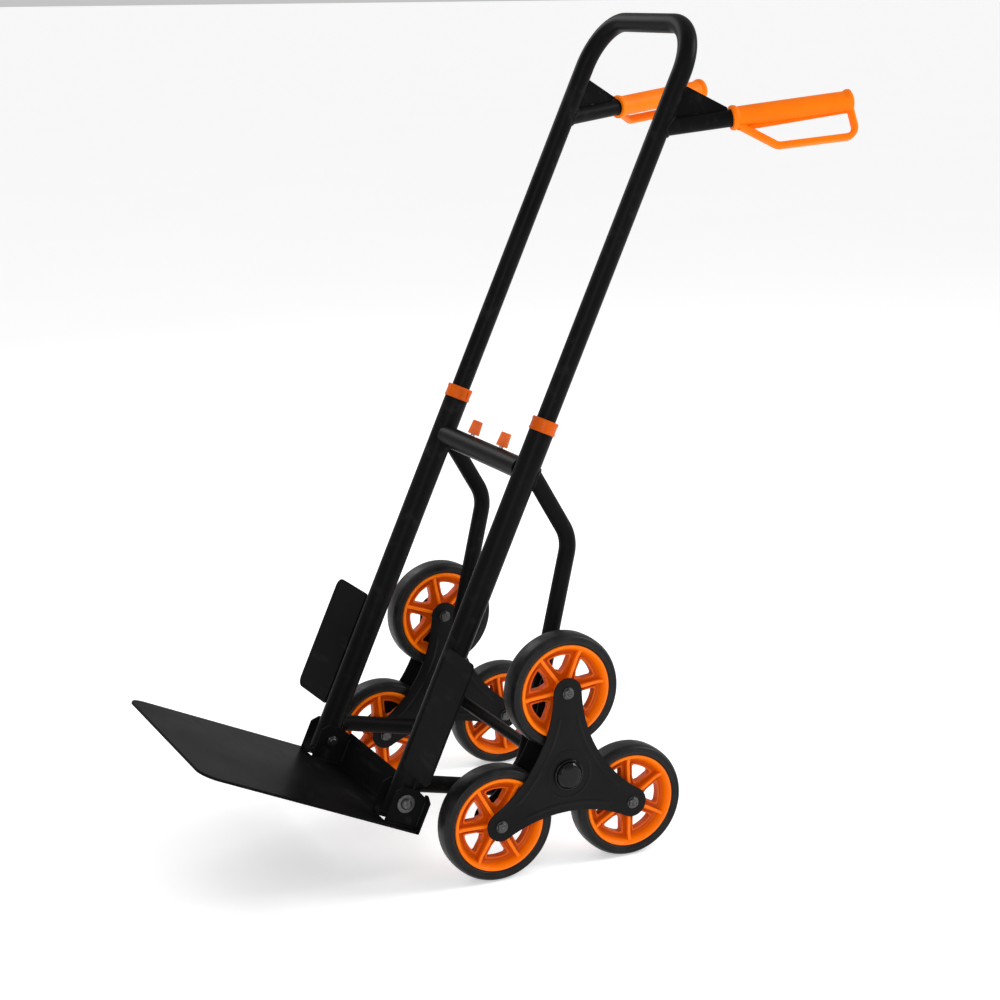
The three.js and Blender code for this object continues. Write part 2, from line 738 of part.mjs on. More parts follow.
addMesh(frame, 'cross_tube', makeCrossTube(), 'coat');
addMesh(frame, 'axle', makeAxle(), 'zinc');
addMesh(frame, 'latch_stop', makeLatchStop(), 'nylon');
addMesh(frame, 'handle_loop', makeLoop(), 'coat');
addMesh(frame, 'toe_plate', makeToePlate(), 'coat');

for (const [side, hand] of [[-1, 'left'], [1, 'right']]) {
  const place = (name, geometry, finish) => {
    addMesh(frame, `${hand}_${name}`, onSide(side, geometry), finish);
  };
  place('rail', makeRail(), 'coat');
  place('brace', makeBrace(), 'coat');
  place('fender', makeFender(), 'coat');
  place('rail_collar', makeCollar(), 'collar');
  place('hinge_bolt', makeHingeBolt(), 'bolt');
  place('hinge_nut', makeHingeNut(), 'bolt');
  place('axle_washer', makeWasher(), 'zinc');
  place('latch_spring', makeLatchSpring(), 'zinc');
  place('latch_bolt', makeLatchBolt(), 'zinc');
  place('latch_knob', makeLatchKnob(), 'knob');
  place('guide_bush', makeGuideBush(), 'nylon');

  const arm = new THREE.Group();
  arm.position.set(side * RAIL_X, 0, STUB_Z);
  arm.rotation.set(rad(STUB_RISE), 0, -side * rad(STUB_SPLAY), 'ZXY');
  frame.add(arm);
  addMesh(arm, `${hand}_handle_stub`, onSide(side, makeStub()), 'coat');
  addMesh(arm, `${hand}_gusset`, onSide(side, makeGusset()), 'coat');
  addMesh(arm, `${hand}_grip`, onSide(side, makeGrip(GUARD_TURNS[hand])), 'orange');

  const cluster = new THREE.Group();
  cluster.position.copy(axlePoint);
  truck.add(cluster);
  const inner = WHEEL_X - PLATE_GAP / 2 - PLATE_THICK;
  const outer = WHEEL_X + PLATE_GAP / 2;
  addMesh(cluster, `${hand}_inner_star`, onSide(side, makeStarPlate(inner)), 'stamped');
  addMesh(cluster, `${hand}_outer_star`, onSide(side, makeStarPlate(outer)), 'stamped');
  addMesh(cluster, `${hand}_star_sleeve`, onSide(side, makeSleeve()), 'zinc');
  addMesh(cluster, `${hand}_hub_cap`, onSide(side, makeCap()), 'cap');

  for (const [spot, angle] of Object.entries(ARM_ANGLES)) {
    const name = `${hand}_${spot}`;
    addMesh(cluster, `${name}_wheel_bolt`, onSide(side, makeWheelBolt(angle)), 'bolt');
    const wheel = new THREE.Group();
    const { x: depth, y: height } = armPoint(angle);
    wheel.position.set(side * WHEEL_X, depth, height);
    cluster.add(wheel);
    addMesh(wheel, `${name}_rim`, makeRim(SPOKE_TURN[name]), 'orange');
    addMesh(wheel, `${name}_tyre`, makeTyre(), 'tyre');
  }
}

// the origin goes under the middle of the truck's box
truck.updateMatrixWorld(true);
const bounds = new THREE.Box3().setFromObject(truck, true);
truck.position.y = -(bounds.min.y + bounds.max.y) / 2;
truck.position.z = -bounds.min.z;

export default truck;
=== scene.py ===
"""Folding stair-climbing hand truck: its finished surfaces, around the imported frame.

Shapes are drawn in millimetres in a space of their own (the rails', an arm's, the axle's or
a wheel's) and placed in metres. The right half is drawn and the left half is its mirror image,
apart from the grips' guards, which each have their own turn, and the wheels, which are drawn
one by one. Up the rails is +Z in the rails' space, +Y is behind them, and X is across.
"""

import json
from math import asin, atan2, cos, degrees, pi, radians, sin, sqrt, tan

import bmesh
import bpy
from mathutils import Matrix, Vector


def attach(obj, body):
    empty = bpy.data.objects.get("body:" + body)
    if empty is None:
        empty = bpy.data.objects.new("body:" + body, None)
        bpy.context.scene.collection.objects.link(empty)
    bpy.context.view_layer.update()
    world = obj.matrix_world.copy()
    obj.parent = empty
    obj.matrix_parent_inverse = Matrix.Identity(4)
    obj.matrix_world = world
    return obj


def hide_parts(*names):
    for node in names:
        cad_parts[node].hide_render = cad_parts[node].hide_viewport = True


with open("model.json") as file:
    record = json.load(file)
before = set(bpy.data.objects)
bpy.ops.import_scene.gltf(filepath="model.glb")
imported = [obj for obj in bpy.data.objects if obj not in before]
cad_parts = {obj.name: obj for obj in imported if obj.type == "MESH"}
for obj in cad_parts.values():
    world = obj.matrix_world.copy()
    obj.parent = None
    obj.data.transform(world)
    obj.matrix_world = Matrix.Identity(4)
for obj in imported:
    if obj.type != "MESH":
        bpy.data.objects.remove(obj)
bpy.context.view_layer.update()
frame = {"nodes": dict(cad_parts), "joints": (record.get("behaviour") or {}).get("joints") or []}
joints = {joint["name"]: joint for joint in frame["joints"]}

# ---- where the truck's own spaces are --------------------------------------------------
METRES = Matrix.Scale(0.001, 4)
MIRROR = Matrix.Scale(-1, 4, (1, 0, 0))
ALONG_X = Matrix(((0, 0, 1, 0), (1, 0, 0, 0), (0, 1, 0, 0), (0, 0, 0, 1)))
LEAN = asin(-joints["handle_slide"]["axis"][1])
RAILS = Matrix.Translation(joints["toe_fold"]["pos_m"]) @ Matrix.Rotation(-LEAN, 4, "X") @ METRES
AXLE_AT = Vector((0, *joints["right_cluster_spin"]["pos_m"][1:]))
AXLE = Matrix.Translation(AXLE_AT) @ METRES

RAIL_X = 129
RAIL_R = 16
RAIL_ENDS = (-19, 508)
TUBE_WALL = 1.5
CROSS_Z = 443
CROSS_R = 14
CROSS_END = 115
KNOB_X = 43.5
SLIDER_R = 12.5
SLIDER_END = 395
LOOP_TOP = 1039
LOOP_BEND = 65
STUB_R = 11
STUB_Z = 901
STUB_RISE = radians(30)
STUB_SPLAY = radians(14.8)
GRIP_START = 93
GRIP_LENGTH = 162
GRIP_R = 13.5
GUARD_TURNS = {"left": radians(47), "right": radians(20)}
GUARD_KNEE = 52
GUARD_DROP = 45
GUARD_END_DROP = 47
GUARD_BEND = 14
BRACE_R = 11
BRACE_BEND = 48
BRACE_CORNERS = ((0, 449), (94, 382), (161, 54), (0, 20.5))
AXLE_R = 8
AXLE_END = 216
AXLE_PLACE = (170.4, 104.3)
WHEEL_X = 190
WHEEL_ARM = 107.8
STAR_GAP = 37
STAR_THICK = 2.5
STAR_END_R = 19.5
STAR_WAIST = 50
ARMS = {"top": 90, "front": 210, "rear": 330}
SPOKES = 6
SPOKE_TURN = {
    "right_top": 6, "right_front": 0, "right_rear": 31,
    "left_top": 41, "left_front": 35, "left_rear": 36,
}
TYRE_R = 75
RIM_R = 61
SHARP = radians(35)
TOE_HALF = 160
TOE_REACH = 277
TOE_TOP = -29
TOE_THICK = 3.5
EAR_OUT = 19.2
EAR_THICK = 3
BOLT_FIT = 0.3
ACROSS = Vector((1, 0, 0))

ARM = (
    RAILS
    @ Matrix.Translation((RAIL_X, 0, STUB_Z))
    @ Matrix.Rotation(-STUB_SPLAY, 4, "Z")
    @ Matrix.Rotation(STUB_RISE, 4, "X")
)


# ---- materials -------------------------------------------------------------------------
class Value:
    """A number that varies over a surface. Sums and products of it are Math nodes."""

    def __init__(self, finish, socket):
        self.finish = finish
        self.socket = socket

    def _math(self, operation, *terms):
        return self.finish.node("ShaderNodeMath", {"operation": operation}, *terms)

    def __add__(self, other):
        return self._math("ADD", self, other)

    def __radd__(self, other):
        return self._math("ADD", other, self)

    def __sub__(self, other):
        return self._math("SUBTRACT", self, other)

    def __rsub__(self, other):
        return self._math("SUBTRACT", other, self)

    def __abs__(self):
        return self._math("ABSOLUTE", self)

    def __mul__(self, other):
        return self._math("MULTIPLY", self, other)

    def __rmul__(self, other):
        return self._math("MULTIPLY", other, self)


class Finish:
    """One surface finish. Constants go on the shader's own sockets."""

    def __init__(self, name, **constants):
        self.material = bpy.data.materials.new(name)
        self.material.use_nodes = True
        self.tree = self.material.node_tree
        self.shader = self.tree.nodes["Principled BSDF"]
        for socket, value in constants.items():
            self.shader.inputs[socket.replace("_", " ")].default_value = value
        self.place = self.node("ShaderNodeTexCoord", {}, output="Object")

    def node(self, kind, settings, *terms, output=0, **sockets):
        """Any node: its settings first, then its inputs in order or by name"""
        made = self.tree.nodes.new(kind)
        for setting, value in settings.items():
            setattr(made, setting, value)
        for at, term in [*enumerate(terms), *sockets.items()]:
            if at in sockets:
                socket = next(s for s in made.inputs if s.enabled and s.name == at)
            else:
                socket = made.inputs[at]
            if isinstance(term, Value):
                self.tree.links.new(term.socket, socket)
            else:
                socket.default_value = term
        return Value(self, made.outputs[output])

    def noise(self, scale, detail=2, roughness=0.5, at=None):
        return self.node(
            "ShaderNodeTexNoise", {}, Vector=at or self.place,
            Scale=scale, Detail=detail, Roughness=roughness,
        )

    def stretched(self, x, y, z):
        return self.node("ShaderNodeMapping", {}, Vector=self.place, Scale=(x, y, z))

    def ramp(self, value, low, high, start=0.0, end=1.0):
        """start below low, end above high, and a smooth change between"""
        return self.node(
            "ShaderNodeMapRange", {"interpolation_type": "SMOOTHSTEP"}, value,
            low, high, start, end,
        )

    def blend(self, amount, first, second):
        """From one colour to the other, either of which may itself vary"""
        settings = {"data_type": "RGBA"}
        return self.node("ShaderNodeMix", settings, amount, output=2, **{"A": first, "B": second})

    def drive(self, socket, value):
        self.tree.links.new(value.socket, self.shader.inputs[socket])

    def relief(self, height, depth, strength=1.0):
        """depth is how far, in metres, a height of 1 stands out"""
        bump = self.node(
            "ShaderNodeBump", {}, Height=height, Distance=depth, Strength=strength,
        )
        self.drive("Normal", bump)


def grey(level):
    return (level, level, level, 1)


def colour(red, green, blue):
    return (red, green, blue, 1)


def powder_coat(name, level, shine, worn):
    """Black powder coat: a fine orange-peel skin, dull and shiny clouds, and rubbed marks"""
    finish = Finish(name, Specular_IOR_Level=shine)
    clouds = finish.noise(9, 3)
    peel = finish.noise(1300, 1)
    rub = finish.noise(1, 6, 0.62, finish.stretched(12, 55, 40))
    scuffs = finish.ramp(rub, 0.54, 0.74) * worn
    base = finish.blend(finish.ramp(clouds, 0.3, 0.7), grey(level * 0.8), grey(level * 1.2))
    finish.drive("Base Color", finish.blend(scuffs, base, grey(0.035)))
    finish.drive("Roughness", 0.3 + clouds * 0.16 + scuffs * 0.25)
    finish.relief(peel + scuffs * 0.4, 0.00006, 0.5)
    return finish.material


def stamped_sheet():
    """Black painted pressed steel with a satin gloss"""
    finish = Finish("stamped_sheet", Specular_IOR_Level=0.08)
    clouds = finish.noise(16, 3)
    grain = finish.noise(900, 2)
    finish.drive("Base Color", finish.blend(finish.ramp(clouds, 0.3, 0.7), grey(0.005), grey(0.008)))
    finish.drive("Roughness", 0.27 + clouds * 0.14 + grain * 0.05)
    finish.relief(grain, 0.00005, 0.3)
    return finish.material


def moulded(name, colour, deep, rough, grain_scale, grain_depth, coat=0.0, shine=0.1):
    """Moulded plastic: slight flow marks in the colour and a fine mould grain"""
    finish = Finish(name, Specular_IOR_Level=shine, Coat_Weight=coat, Coat_Roughness=0.2)
    flow = finish.noise(1, 3, 0.5, finish.stretched(22, 30, 22))
    grain = finish.noise(grain_scale, 2)
    finish.drive("Base Color", finish.blend(finish.ramp(flow, 0.3, 0.75), colour, deep))
    finish.drive("Roughness", rough + flow * 0.12 + grain * 0.05)
    finish.relief(grain, grain_depth, 0.5)
    return finish.material


def rim_plastic():
    """Orange wheel plastic: full bright orange on the lips, with painted shade darkening it towards the
    hollows by the web
    """
    finish = Finish("wheel_orange", Specular_IOR_Level=0.15)
    across = finish.node("ShaderNodeSeparateXYZ", {}, finish.place)
    # painted shade: the colour darkens with depth from the lips towards the web, standing in for shadow in
    # the hollows
    off_centre = abs(abs(across) - WHEEL_X * 0.001)
    painted_light_mask = finish.ramp(off_centre, 0.0025, 0.0125)
    flow = finish.noise(1, 3, 0.5, finish.stretched(22, 30, 22))
    grain = finish.noise(700, 2)
    flow_toned = finish.blend(finish.ramp(flow, 0.3, 0.75), RIM_ORANGE, RIM_SHADE)
    finish.drive("Base Color", finish.blend(painted_light_mask, RIM_PAINTED_SHADE, flow_toned))
    finish.drive("Roughness", 0.42 - painted_light_mask * 0.16 + grain * 0.05)
    finish.relief(grain, 0.00003, 0.5)
    return finish.material


def tyre_rubber():
    """Black rubber with a dusty bloom and a fine moulded grain"""
    finish = Finish("tyre_rubber", Specular_IOR_Level=0.2)
    dust = finish.noise(60, 5, 0.6)
    grain = finish.noise(1500, 2)
    amount = finish.ramp(dust, 0.4, 0.75)
    finish.drive("Base Color", finish.blend(amount, grey(0.006), grey(0.014)))
    finish.drive("Roughness", 0.36 + amount * 0.18 + grain * 0.06)
    finish.relief(grain + dust * 0.5, 0.00008, 0.5)
    return finish.material


def plated(name, level, rough):
    """Plated steel: brushed streaks and dull spots"""
    finish = Finish(name, Metallic=1.0)
    streaks = finish.noise(1, 4, 0.6, finish.stretched(900, 250, 250))
    amount = finish.ramp(finish.noise(420, 3), 0.45, 0.7)
    finish.drive("Base Color", finish.blend(amount, grey(level), grey(level * 0.6)))
    finish.drive("Roughness", rough + streaks * 0.15 + amount * 0.15)
    finish.relief(streaks, 0.00003, 0.5)
    return finish.material


RIM_ORANGE = colour(1.0, 0.19, 0.001)
RIM_SHADE = colour(0.92, 0.165, 0.001)
# painted shade colour for the hollows of the wheels
RIM_PAINTED_SHADE = colour(0.58, 0.082, 0.0005)
GRIP_ORANGE = colour(1.0, 0.2, 0.002)
GRIP_SHADE = colour(0.95, 0.175, 0.001)
COLLAR_ORANGE = colour(0.62, 0.095, 0.001)
COLLAR_SHADE = colour(0.42, 0.055, 0.001)
KNOB_ORANGE = colour(0.8, 0.15, 0.03)
KNOB_SHADE = colour(0.6, 0.1, 0.02)
MATERIALS = {
    "tube_coat": powder_coat("tube_coat", 0.005, 0.04, 0.25),
    "plate_coat": powder_coat("plate_coat", 0.006, 0.008, 0.3),
    "weld_coat": powder_coat("weld_coat", 0.006, 0.07, 0.3),
    "stamped_sheet": stamped_sheet(),
    "wheel_orange": rim_plastic(),
    "grip_orange": moulded("grip_orange", GRIP_ORANGE, GRIP_SHADE, 0.36, 1100, 0.00008),
    "collar_orange": moulded("collar_orange", COLLAR_ORANGE, COLLAR_SHADE, 0.3, 900, 0.00005),
    "knob_orange": moulded("knob_orange", KNOB_ORANGE, KNOB_SHADE, 0.4, 900, 0.00005),
    "cap_black": moulded("cap_black", grey(0.001), grey(0.002), 0.02, 600, 0.00001, 0.0, 0.22),
    "seat_nylon": moulded("seat_nylon", grey(0.62), grey(0.5), 0.45, 800, 0.00004),
    "tyre_rubber": tyre_rubber(),
    "bolt_steel": plated("bolt_steel", 0.1, 0.32),
    "zinc_steel": plated("zinc_steel", 0.45, 0.3),
}


# ---- drawing helpers -------------------------------------------------------------------
def polar(angle, radius):
    """A flat point at an angle in degrees"""
    return radius * cos(radians(angle)), radius * sin(radians(angle))


def rounded(corners, steps=5, closed=True):
    """An outline from (u, v) or (u, v, corner radius), with its corners rounded"""
    count = len(corners)
    points = []
    for i, corner in enumerate(corners):
        here = Vector(corner[:2])
        if len(corner) == 2 or (not closed and i in (0, count - 1)):
            points.append(tuple(here))
            continue
        back = (Vector(corners[i - 1][:2]) - here).normalized()
        ahead = (Vector(corners[(i + 1) % count][:2]) - here).normalized()
        half = back.angle(ahead) / 2
        reach = corner[2] / tan(half)
        centre = here + (back + ahead).normalized() * (corner[2] / sin(half))
        first = here + back * reach - centre
        turn = first.angle_signed(here + ahead * reach - centre)
        for k in range(steps + 1):
            spoke = first.copy()
            spoke.rotate(Matrix.Rotation(-turn * k / steps, 2))
            points.append(tuple(centre + spoke))
    return points


def circle(radius, count, at=(0, 0)):
    """A round outline of so many corners"""
    turns = [2 * pi * k / count for k in range(count)]
    return [(at[0] + radius * cos(t), at[1] + radius * sin(t)) for t in turns]


def verts_of(geometry):
    return [item for item in geometry if isinstance(item, bmesh.types.BMVert)]


def edges_of(geometry):
    return [item for item in geometry if isinstance(item, bmesh.types.BMEdge)]


def faces_of(geometry):
    return [item for item in geometry if isinstance(item, bmesh.types.BMFace)]


def loop(bm, points, matrix):
    """A closed loop of edges through flat points, laid out by a matrix"""
    verts = [bm.verts.new(matrix @ Vector((u, v, 0))) for u, v in points]
    return [bm.edges.new((a, b)) for a, b in zip(verts, verts[1:] + verts[:1])]


def turned(bm, profile, segments=64, matrix=Matrix.Identity(4)):
    """A body turned about the X axis from (x, radius) points: it closes on the axis or on itself"""
    verts = [bm.verts.new((x, 0, r)) for x, r in profile]
    pairs = list(zip(verts, verts[1:]))
    if profile[0][1] > 0:
        pairs.append((verts[-1], verts[0]))
    edges = [bm.edges.new(pair) for pair in pairs]
    bmesh.ops.spin(
        bm, geom=verts + edges, cent=(0, 0, 0), axis=(1, 0, 0), dvec=(0, 0, 0),
        angle=2 * pi, steps=segments, use_merge=True, use_normal_flip=False, use_duplicate=False,
    )
    whole = island(verts[0])
    bmesh.ops.remove_doubles(bm, verts=whole, dist=1e-4)
    whole = [v for v in whole if v.is_valid]
    bmesh.ops.transform(bm, matrix=matrix, verts=whole)
    return whole


def upright(x):
    """Stands a turned body up the rails, at a place across them"""
    return Matrix.Translation((x, 0, 0)) @ Matrix.Rotation(-pi / 2, 4, "Y")


def island(start):
    """Every vertex joined to this one"""
    found = {start}
    waiting = [start]
    while waiting:
        vert = waiting.pop()
        for link in vert.link_edges:
            other = link.other_vert(vert)
            if other not in found:
                found.add(other)
                waiting.append(other)
    return list(found)


def plate(bm, outline, thick, matrix=Matrix.Identity(4), holes=()):
    """A flat plate of an outline with holes, from w = 0 to w = thick"""
    edges = []
    for points in (outline, *holes):
        edges += loop(bm, points, Matrix.Identity(4))
    if holes:
        filled = bmesh.ops.triangle_fill(bm, use_beauty=True, edges=edges, normal=(0, 0, 1))
        faces = faces_of(filled["geom"])
    else:
        faces = bmesh.ops.contextual_create(bm, geom=edges)["faces"]
    raised = bmesh.ops.extrude_face_region(bm, geom=faces)["geom"]
    top = verts_of(raised)
    bmesh.ops.translate(bm, vec=(0, 0, thick), verts=top)
    whole = {v for v in top} | {v for edge in edges for v in edge.verts}
    bmesh.ops.transform(bm, matrix=matrix, verts=list(whole))
    return list(whole)


def facing(heading, side=ACROSS):
    """Turns w to the heading, and u as near as it goes to the side"""
    across = (side - heading * side.dot(heading)).normalized()
    third = heading.cross(across)
    return Matrix((across, third, heading)).transposed().to_4x4()


def route(corners, bend, turns):
    """The moves that carry a section along straight runs and round bends"""
    moves = []
    at = corners[0]
    for before, corner, after in zip(corners, corners[1:], corners[2:]):
        back = (before - corner).normalized()
        ahead = (after - corner).normalized()
        half = back.angle(ahead) / 2
        centre = corner + (back + ahead).normalized() * (bend / sin(half))
        enter = corner + back * (bend / tan(half))
        moves.append(Matrix.Translation(enter - at))
        turn = Matrix.Rotation((pi - 2 * half) / turns, 4, ahead.cross(back))
        step = Matrix.Translation(centre) @ turn @ Matrix.Translation(-centre)
        moves += [step] * turns
        at = corner + ahead * (bend / tan(half))
    moves.append(Matrix.Translation(corners[-1] - at))
    return moves


def carried(bm, corners, bend, section, turns, side=ACROSS):
    """The skin of a section carried along a route. Returns its first and last rings."""
    heading = (corners[1] - corners[0]).normalized()
    first = loop(bm, section, Matrix.Translation(corners[0]) @ facing(heading, side))
    ring = first
    for move in route(corners, bend, turns):
        out = bmesh.ops.extrude_edge_only(bm, edges=ring)["geom"]
        moved = set(verts_of(out))
        bmesh.ops.transform(bm, matrix=move, verts=list(moved))
        ring = [e for e in edges_of(out) if e.verts[0] in moved and e.verts[1] in moved]
    return first, ring


def bar(bm, corners, bend, section, turns, side):
    """A bent bar with closed ends, whose section is level with the side"""
    for ring in carried(bm, corners, bend, section, turns, side):
        bmesh.ops.contextual_create(bm, geom=ring)


def tube(bm, corners, bend, radius, wall=TUBE_WALL, sides=40, turns=12):
    """A bent tube with open ends"""
    outer = carried(bm, corners, bend, circle(radius, sides), turns)
    inner = carried(bm, corners, bend, circle(radius - wall, sides), turns)
    for skin, lining in zip(outer, inner):
        bmesh.ops.bridge_loops(bm, edges=skin + lining)


def bead(bm, points, radius, closed=False):
    """A weld bead along points: a row of overlapping ripples, as wide as it is high"""
    pitch, ripple, wander, sides = 3.2, 0.13, 0.06, 8
    leaning = Vector((0.3, 0.9, 0.3))
    count = len(points)
    run = 0.0
    rings = []
    for i, point in enumerate(points):
        after = points[(i + 1) % count] if closed or i + 1 < count else point
        before = points[i - 1] if closed or i > 0 else point
        run += (point - before).length
        fade = 1.0 if closed else min(1.0, 0.45 + 0.3 * min(i, count - 1 - i))
        swell = 1 + ripple * cos(2 * pi * run / pitch) + wander * sin(run * 1.7)
        matrix = Matrix.Translation(point) @ facing((after - before).normalized(), leaning)
        rings.append(loop(bm, circle(radius * fade * swell, sides), matrix))
    pairs = list(zip(rings, rings[1:]))
    if closed:
        pairs.append((rings[-1], rings[0]))
    for one, two in pairs:
        bmesh.ops.bridge_loops(bm, edges=one + two)
    if not closed:
        for end in (rings[0], rings[-1]):
            bmesh.ops.contextual_create(bm, geom=end)


def saddle(branch, heading, branch_r, main, main_heading, main_r, count):
    """The line where a branch tube's skin meets a main tube's skin"""
    matrix = facing(heading)
    points = []
    for u, v in circle(branch_r, count):
        rim = branch + matrix @ Vector((u, v, 0))
        away = (rim - main) - main_heading * (rim - main).dot(main_heading)
        along = heading - main_heading * heading.dot(main_heading)
        a, b, c = along.length_squared, away.dot(along), away.length_squared - main_r**2
        points.append(rim + heading * ((sqrt(max(b * b - a * c, 0)) - b) / a))
    return points


def straight(start, end):
    """Points for a straight bead, close enough to carry its ripples"""
    spacing = 0.8
    start, end = Vector(start), Vector(end)
    count = max(3, round((end - start).length / spacing))
    return [start.lerp(end, k / (count - 1)) for k in range(count)]


def finished(bm, name, finish, body, nodes, space, side=1, edge=0.0, segments=2):
    """Places the drawing in the frame and makes it a piece, with its sharp edges eased"""
    bmesh.ops.transform(bm, matrix=MIRROR @ space if side < 0 else space, verts=bm.verts)
    bmesh.ops.recalc_face_normals(bm, faces=bm.faces)
    mesh = bpy.data.meshes.new(name)
    bm.to_mesh(mesh)
    bm.free()
    mesh.polygons.foreach_set("use_smooth", [True] * len(mesh.polygons))
    mesh.set_sharp_from_angle(angle=SHARP)
    mesh.materials.append(MATERIALS[finish])
    piece = bpy.data.objects.new(name, mesh)
    bpy.context.scene.collection.objects.link(piece)
    if edge:
        ease = piece.modifiers.new("eased_edges", "BEVEL")
        ease.width = edge * 0.001
        ease.segments = segments
        ease.limit_method = "ANGLE"
        ease.angle_limit = SHARP
        ease.use_clamp_overlap = False
        ease.harden_normals = True
    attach(piece, body)
    if nodes:
        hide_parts(*nodes)
    return piece


# ---- fixed frame -----------------------------------------------------------------------
def rail(hand, side):
    bm = bmesh.new()
    low, high = RAIL_ENDS
    tube(bm, [Vector((RAIL_X, 0, low)), Vector((RAIL_X, 0, high))], 0, RAIL_R, sides=56)
    nodes = [f"{hand}_rail"]
    finished(bm, f"{hand}_rail_tube", "tube_coat", "frame", nodes, RAILS, side, 0.4)


def cross_tube():
    """Runs between the rails, with a slot under each latch knob"""
    bm = bmesh.new()
    near, far = 31, 48
    slot_half, slot_depth = 4.2, 6
    stations = [-CROSS_END, -far, -near, near, far, CROSS_END]
    profile = [(-CROSS_END, 0), *[(x, CROSS_R) for x in stations], (CROSS_END, 0)]
    turned(bm, profile, 48, Matrix.Translation((0, 0, CROSS_Z)))
    bm.faces.ensure_lookup_table()
    for sign in (-1, 1):
        under = []
        for face in bm.faces:
            middle = face.calc_center_median()
            inside = near < sign * middle.x < far
            if inside and abs(middle.y) < slot_half and middle.z > CROSS_Z:
                under.append(face)
        sunk = bmesh.ops.extrude_face_region(bm, geom=under)["geom"]
        bmesh.ops.delete(bm, geom=under, context="FACES")
        bmesh.ops.translate(bm, vec=(0, 0, -slot_depth), verts=verts_of(sunk))
    finished(bm, "cross_bar", "tube_coat", "frame", ["cross_tube"], RAILS, 1, 0.25)


def brace_points():
    return [Vector((RAIL_X, depth, height)) for depth, height in BRACE_CORNERS]


def brace(hand, side):
    bm = bmesh.new()
    tube(bm, brace_points(), BRACE_BEND, BRACE_R, sides=36, turns=14)
    finished(bm, f"{hand}_brace_tube", "tube_coat", "frame", [f"{hand}_brace"], RAILS, side)


def frame_welds(hand, side):
    """Beads where the cross bar, brace, axle and fender meet the tubes"""
    bm = bmesh.new()
    points = brace_points()
    rail_axis = Vector((RAIL_X, 0, 0))
    up = Vector((0, 0, 1))
    for start, towards in ((points[0], points[1]), (points[3], points[2])):
        heading = (towards - start).normalized()
        bead(bm, saddle(start, heading, BRACE_R, rail_axis, up, RAIL_R, 90), 2.0, closed=True)
    cross = Vector((RAIL_X, 0, CROSS_Z))
    bead(bm, saddle(cross, -ACROSS, CROSS_R, rail_axis, up, RAIL_R, 96), 2.1, closed=True)

    run = (points[2] - points[1]).normalized()
    out = Vector((0, -run.z, run.y))
    clearance, ring_r = 0.15, 6.4
    axle_middle = Vector((RAIL_X, *AXLE_PLACE))
    contact = axle_middle - out * (AXLE_R + clearance) * (1 if out.y > 0 else -1)
    ring = [contact + ACROSS * u + run * v for u, v in circle(ring_r, 44)]
    bead(bm, ring, 2.4, closed=True)

    edge_x, face_y, length = RAIL_X + 10.6, -12.6, 20
    for low in (52, 112, 172):
        bead(bm, straight((edge_x, face_y, low), (edge_x, face_y, low + length)), 1.9)
    finished(bm, f"{hand}_frame_welds", "weld_coat", "frame", [], RAILS, side)


def axle():
    """Straight rod with a small chamfer at each end"""
    bm = bmesh.new()
    chamfer = 1
    half = [(-AXLE_END, 0), (-AXLE_END, AXLE_R - chamfer), (-AXLE_END + chamfer, AXLE_R)]
    profile = half + [(-x, r) for x, r in reversed(half)]
    turned(bm, profile, 40, Matrix.Translation((0, *AXLE_PLACE)))
    finished(bm, "axle_rod", "tube_coat", "frame", ["axle"], RAILS)


def fender(hand, side):
    """A flat guard plate in front of the wheels, welded to the rail along its inner edge"""
    bm = bmesh.new()
    width, low, high, thick = 88, 41, 202, 3
    inner_edge, depth, sweep = 138, -14.5, radians(4.2)
    outline = rounded([(0, low, 3), (width, low, 12), (width, high, 12), (0, high, 3)], 8)
    matrix = (
        Matrix.Translation((inner_edge, depth, 0))
        @ Matrix.Rotation(-sweep, 4, "Z")
        @ Matrix.Rotation(pi / 2, 4, "X")
        @ Matrix.Translation((0, 0, -thick / 2))
    )
    plate(bm, outline, thick, matrix)
    finished(
        bm, f"{hand}_fender_plate", "plate_coat", "frame", [f"{hand}_fender"],
        RAILS, side, 0.6, 3,
    )


def collar(hand, side):
    """Moulded sleeve at the rail's mouth, with a shallow band and a ridge down two sides"""
    bm = bmesh.new()
    low, high, outer = 495, 512, 17.4
    band, lip = outer - 0.5, high - 3.4
    rail_fit, slider_fit = RAIL_R + 0.1, SLIDER_R + 0.3
    profile = rounded([
        (low, rail_fit), (low, outer, 0.6), (low + 3, outer, 0.3), (low + 3.6, band, 0.3),
        (high - 4.6, band, 0.3), (high - 4, outer, 0.3), (high, outer, 1.4),
        (high, slider_fit, 0.5), (lip, slider_fit), (lip, rail_fit),
    ], 3)
    turned(bm, profile, 64, upright(RAIL_X))
    half, bottom, top, sunk, thick = 2.6, low + 1.2, high - 1.6, 1.4, 1.7
    ridge = rounded([(-half, bottom, 0.8), (half, bottom, 0.8), (half, top, 0.8), (-half, top, 0.8)], 3)
    for turn in (60, 240):
        matrix = (
            Matrix.Translation((RAIL_X, 0, 0)) @ Matrix.Rotation(radians(turn), 4, "Z")
            @ Matrix.Rotation(pi / 2, 4, "X") @ Matrix.Translation((0, 0, outer - sunk))
        )
        plate(bm, ridge, thick, matrix)
    finished(
        bm, f"{hand}_mouth_collar", "collar_orange", "frame", [f"{hand}_rail_collar"],
        RAILS, side,
    )


